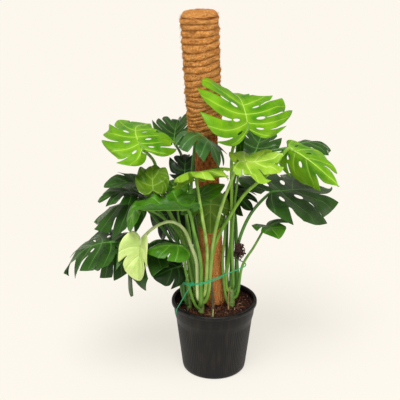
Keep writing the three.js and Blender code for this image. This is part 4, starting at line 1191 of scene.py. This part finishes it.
def turned_profile(profile, steps, around, relief):
    """The profile cut into equal steps and turned round the upright axis, with relief(z, angle,
    radius) added to the radius. Its two ends are joined, so the wall is closed."""
    p = np.array(profile + profile[:1], float)
    along = np.concatenate([[0], np.cumsum(np.hypot(*np.diff(p, axis=0).T))])
    want = np.union1d(np.linspace(0, along[-1], steps), along)
    r, z = np.interp(want, along, p[:, 0]), np.interp(want, along, p[:, 1])
    angle = np.linspace(0, 2 * np.pi, around, endpoint=False)[None, :]
    radius = r[:, None] + relief(z[:, None], angle, r[:, None])
    grid = np.stack([radius * np.cos(angle), radius * np.sin(angle), z[:, None] + 0 * angle], -1)
    return shell(grid.reshape(-1, 3), grid_faces(len(want), around, closed=True))


print("points in the pot's profile:", len(OUTSIDE + INSIDE))

# %% Pot wall with flutes
FLUTES, FLUTE_DEPTH = 96, 0.9
FLUTES_FROM, FLUTES_TO, FLUTES_FADE = 8, 156, 12
POINTS_A_FLUTE, WALL_RINGS = 6, 80


def flutes(z, angle, radius):
    """Ridges of |cos|, only on the outside, that fade in above the foot and out under the
    collar."""
    fade = np.clip((z - FLUTES_FROM) / FLUTES_FADE, 0, 1)
    fade = fade * np.clip((FLUTES_TO - z) / FLUTES_FADE, 0, 1)
    outside = radius > POT_BASE + (BODY_TOP - POT_BASE) * z / BODY_HEIGHT - 4
    return FLUTE_DEPTH * (np.abs(np.cos(FLUTES / 2 * angle)) - 0.4) * fade * outside


wall = turned_profile(OUTSIDE + INSIDE, WALL_RINGS, FLUTES * POINTS_A_FLUTE, flutes)
pot_wall = piece("pot_wall", [wall], ["pot"], over=True)
print("pot wall triangles:", len(pot_wall.data.polygons))

# %% [markdown]
# ## The soil
# Potting soil of bark and peat: a rough, low mound, with chips of bark lying on it at all angles
# and thin strands between them, thicker round the stems. A bumpy material alone would leave a flat
# outline at the rim, so the chips are real. The mound is a height over a round grid. The chips are
# one twenty-sided stone, stretched, turned and strewn as whole arrays.

# %% Soil finish
peat = Finish("bark_and_peat", roughness=0.9, Specular_IOR_Level=0.3)
grain = peat.noise(420, 6, low=0.35, high=0.7)
tone = peat.value("shade")
brown = peat.mix(peat.ramp(tone, 0.3, 1.0), peat.mix(grain, "#150906", "#44211a"), "#84502f")
peat.colour(peat.mix(peat.ramp(tone, 1.4, 2.0), brown, "#d8c8b4"))
peat.height(grain, 1.5)
FINISH["soil"] = peat.material
print("finishes so far:", len(FINISH))

# %% The mound
SOIL_RADIUS, SOIL_HEIGHT, MOUND = 109.8, 200, 3
SOIL_SIDES = 300
UNDERSIDE = [(108, 172), (86, 6), (0.02, 3.4)]


def soil_height(x, y):
    """A low mound that falls by MOUND to the wall, with bumps from a few plane waves."""
    mound = SOIL_HEIGHT - MOUND * np.hypot(x, y) / SOIL_RADIUS
    coarse = 1.1 * np.sin(x / 5.1 + 1.3 * np.sin(y / 7)) * np.cos(y / 4.3)
    return mound + coarse + 0.7 * np.sin(x / 2.3 + y / 2.9)


angle = np.linspace(0, 2 * np.pi, SOIL_SIDES, endpoint=False)
r, a = np.meshgrid(np.linspace(0.02, SOIL_RADIUS, 90), angle, indexing="ij")
top = np.stack([r * np.cos(a), r * np.sin(a), soil_height(r * np.cos(a), r * np.sin(a))], -1)
top[..., 2] += 0.6 * lumps(a, r, 60, 4)
below = [np.stack([radius * np.cos(angle), radius * np.sin(angle), height + 0 * angle], -1)
         for radius, height in UNDERSIDE]
shade = np.concatenate([rng.uniform(0, 0.35, r.shape), np.zeros((len(UNDERSIDE), SOIL_SIDES))])
mound = shell(np.concatenate([top, below]).reshape(-1, 3), grid_faces(*shade.shape, closed=True),
              shade=shade.ravel())
print("highest soil:", round(top[..., 2].max(), 1), "mm above the floor")

# %% Chips
GOLDEN = (1 + math.sqrt(5)) / 2
STONE = np.array([
    (-1, GOLDEN, 0), (1, GOLDEN, 0), (-1, -GOLDEN, 0), (1, -GOLDEN, 0),
    (0, -1, GOLDEN), (0, 1, GOLDEN), (0, -1, -GOLDEN), (0, 1, -GOLDEN),
    (GOLDEN, 0, -1), (GOLDEN, 0, 1), (-GOLDEN, 0, -1), (-GOLDEN, 0, 1),
])
STONE_FACES = np.array([
    (0, 11, 5), (0, 5, 1), (0, 1, 7), (0, 7, 10), (0, 10, 11), (1, 5, 9), (5, 11, 4),
    (11, 10, 2), (10, 7, 6), (7, 1, 8), (3, 9, 4), (3, 4, 2), (3, 2, 6), (3, 6, 8), (3, 8, 9),
    (4, 9, 5), (2, 4, 11), (6, 2, 10), (8, 6, 7), (9, 8, 1),
])
CHIPS, CHIP_SIZE = 1500, np.array([4.2, 2.1, 1.3])
SPECKS, SPECK_SIZE, SPECK_TONE = 70, 0.45, 2


def turned_at_random(count):
    """Random turns: the three axes of each are two random directions made square to each other."""
    a = rng.normal(size=(count, 3))
    b = rng.normal(size=(count, 3))
    a /= np.linalg.norm(a, axis=1, keepdims=True)
    b -= (a * b).sum(1, keepdims=True) * a
    b /= np.linalg.norm(b, axis=1, keepdims=True)
    return np.stack([a, b, np.cross(a, b)], 1)


def strewn(count, reach):
    """Places spread evenly over a disc: the distance is the root of an even share."""
    distance = reach * np.sqrt(rng.uniform(0, 1, count))
    bearing = rng.uniform(0, 2 * np.pi, count)
    return np.stack([distance * np.cos(bearing), distance * np.sin(bearing)], -1)


size = np.abs(rng.normal(1, 0.35, (CHIPS, 1, 1))) * CHIP_SIZE * rng.uniform(0.6, 1.3, (CHIPS, 1, 3))
stones = STONE / 1.9 * rng.uniform(0.75, 1.25, (CHIPS, 12, 1)) * size
stones[:SPECKS] *= SPECK_SIZE
stones = np.einsum("nij,njk->nik", stones, turned_at_random(CHIPS))
place = strewn(CHIPS, SOIL_RADIUS - 4)
stones += np.column_stack([place, soil_height(*place.T) + 0.8])[:, None]
chip_faces = (STONE_FACES[None] + 12 * np.arange(CHIPS)[:, None, None]).reshape(-1, 3)
chip_tone = np.clip(rng.normal(0.3, 0.42, CHIPS), 0, 1.2)
chip_tone[:SPECKS] = SPECK_TONE
chips = (stones.reshape(-1, 3), chip_faces, {"shade": np.repeat(chip_tone, 12)})
print("chips:", CHIPS, "of which pale specks:", SPECKS)

# %% Strands, and litter round the stems
STRANDS, LITTER = 700, 60
NEAR_STEMS = np.array([(-40, -64), (-8, -70), (4, -62), (48, -30), (-68, -44), (12, -34)])
on_soil = lambda p: np.column_stack([p, soil_height(*p.T) + 1.6])
heads = strewn(STRANDS, SOIL_RADIUS - 14)
tails = heads + rng.normal(0, 7, (STRANDS, 2))
lines = wander(on_soil(heads), on_soil(tails), count=8, sag=-1.2, spread=1.2)
strands = tube(lines, rng.uniform(0.2, 0.5, (STRANDS, 1)), 3,
               shade=rng.uniform(0.4, 1.6, (STRANDS, 1)))

heads = NEAR_STEMS[rng.integers(0, len(NEAR_STEMS), LITTER)] + rng.normal(0, 8, (LITTER, 2))
tails = heads + rng.normal(0, 11, (LITTER, 2))
tails = np.column_stack([tails, soil_height(*tails.T) + rng.uniform(1, 17, LITTER)])
lines = wander(on_soil(heads), tails, count=8, sag=-1, spread=1.5)
litter = tube(lines, rng.uniform(0.4, 1.1, (LITTER, 1)), 5,
              shade=rng.uniform(0.5, 1.7, (LITTER, 1)))
piece("soil_mound", [mound, chips, strands, litter], ["soil"])
print("strands:", STRANDS, "litter:", LITTER)

# %% [markdown]
# ## Floor and light
# A pale warm floor and a sky of the same tone give the plain backdrop of a studio. A curved
# backdrop could do it too, but it would stand in the way of a camera behind the plant. Most of the
# floor's brightness is its own, as on a light table, so the plant throws only a faint shadow. A
# broad, far lamp from above and a little to the left models the leaves, and a large soft one in
# front at the right lifts the shadows between them. The camera sees a bright sky, while the plant
# is lit by a dimmer one, which keeps its colours deep.

# %% Floor
BACKDROP = np.array([0.973, 0.93, 0.85])
OWN_SHARE, LIT_SHARE = 0.71, 0.23
FLOOR_REACH = 30
pale = Finish("pale_floor", roughness=0.9, Specular_IOR_Level=0.0)
pale.shader.inputs["Base Color"].default_value = (*BACKDROP * LIT_SHARE, 1)
pale.shader.inputs["Emission Color"].default_value = (*BACKDROP * OWN_SHARE, 1)
pale.shader.inputs["Emission Strength"].default_value = 1
floor_mesh = bpy.data.meshes.new("floor")
corners = [(FLOOR_REACH * x, FLOOR_REACH * y, 0) for x, y in ((-1, -1), (1, -1), (1, 1), (-1, 1))]
floor_mesh.from_pydata(corners, [], [(0, 1, 2, 3)])
floor_mesh.materials.append(pale.material)
floor = bpy.data.objects.new("floor", floor_mesh)
bpy.context.scene.collection.objects.link(floor)
print("floor:", 2 * FLOOR_REACH, "metres square")

# %% Sky
SKY_STRENGTH = 0.42
world = bpy.data.worlds.new("studio")
world.use_nodes = True
nodes, link = world.node_tree.nodes, world.node_tree.links.new
sky = nodes["Background"]
sky.inputs["Color"].default_value = paint("#fef7ed")
sky.inputs["Strength"].default_value = SKY_STRENGTH
seen = nodes.new("ShaderNodeBackground")
seen.inputs["Color"].default_value = (*BACKDROP, 1)
ray = nodes.new("ShaderNodeLightPath")
blend = nodes.new("ShaderNodeMixShader")
link(ray.outputs["Is Camera Ray"], blend.inputs[0])
link(sky.outputs[0], blend.inputs[1])
link(seen.outputs[0], blend.inputs[2])
link(blend.outputs[0], nodes["World Output"].inputs[0])
bpy.context.scene.world = world
bpy.context.scene.view_settings.view_transform = "Standard"
print("sky strength:", SKY_STRENGTH)

# %% Lamps
AIM = np.array([-0.03, 0, 0.5])


def lamp(name, kind, place, power, **sizes):
    """A lamp at a place, turned to the middle of the plant."""
    light = bpy.data.lights.new(name, kind)
    light.energy = power
    for key, value in sizes.items():
        setattr(light, key, value)
    made = bpy.data.objects.new(name, light)
    made.location = place
    x, y, z = AIM - np.array(place)
    made.rotation_euler = (math.acos(-z / math.hypot(x, y, z)), 0, math.atan2(-x, y))
    bpy.context.scene.collection.objects.link(made)
    print("lamp:", name)


lamp("key_lamp", "SUN", (-0.4, -1.6, 3.8), power=3.1, angle=math.radians(38))
lamp("fill_lamp", "AREA", (0.9, -2.3, 1.3), power=13, size=1.2)
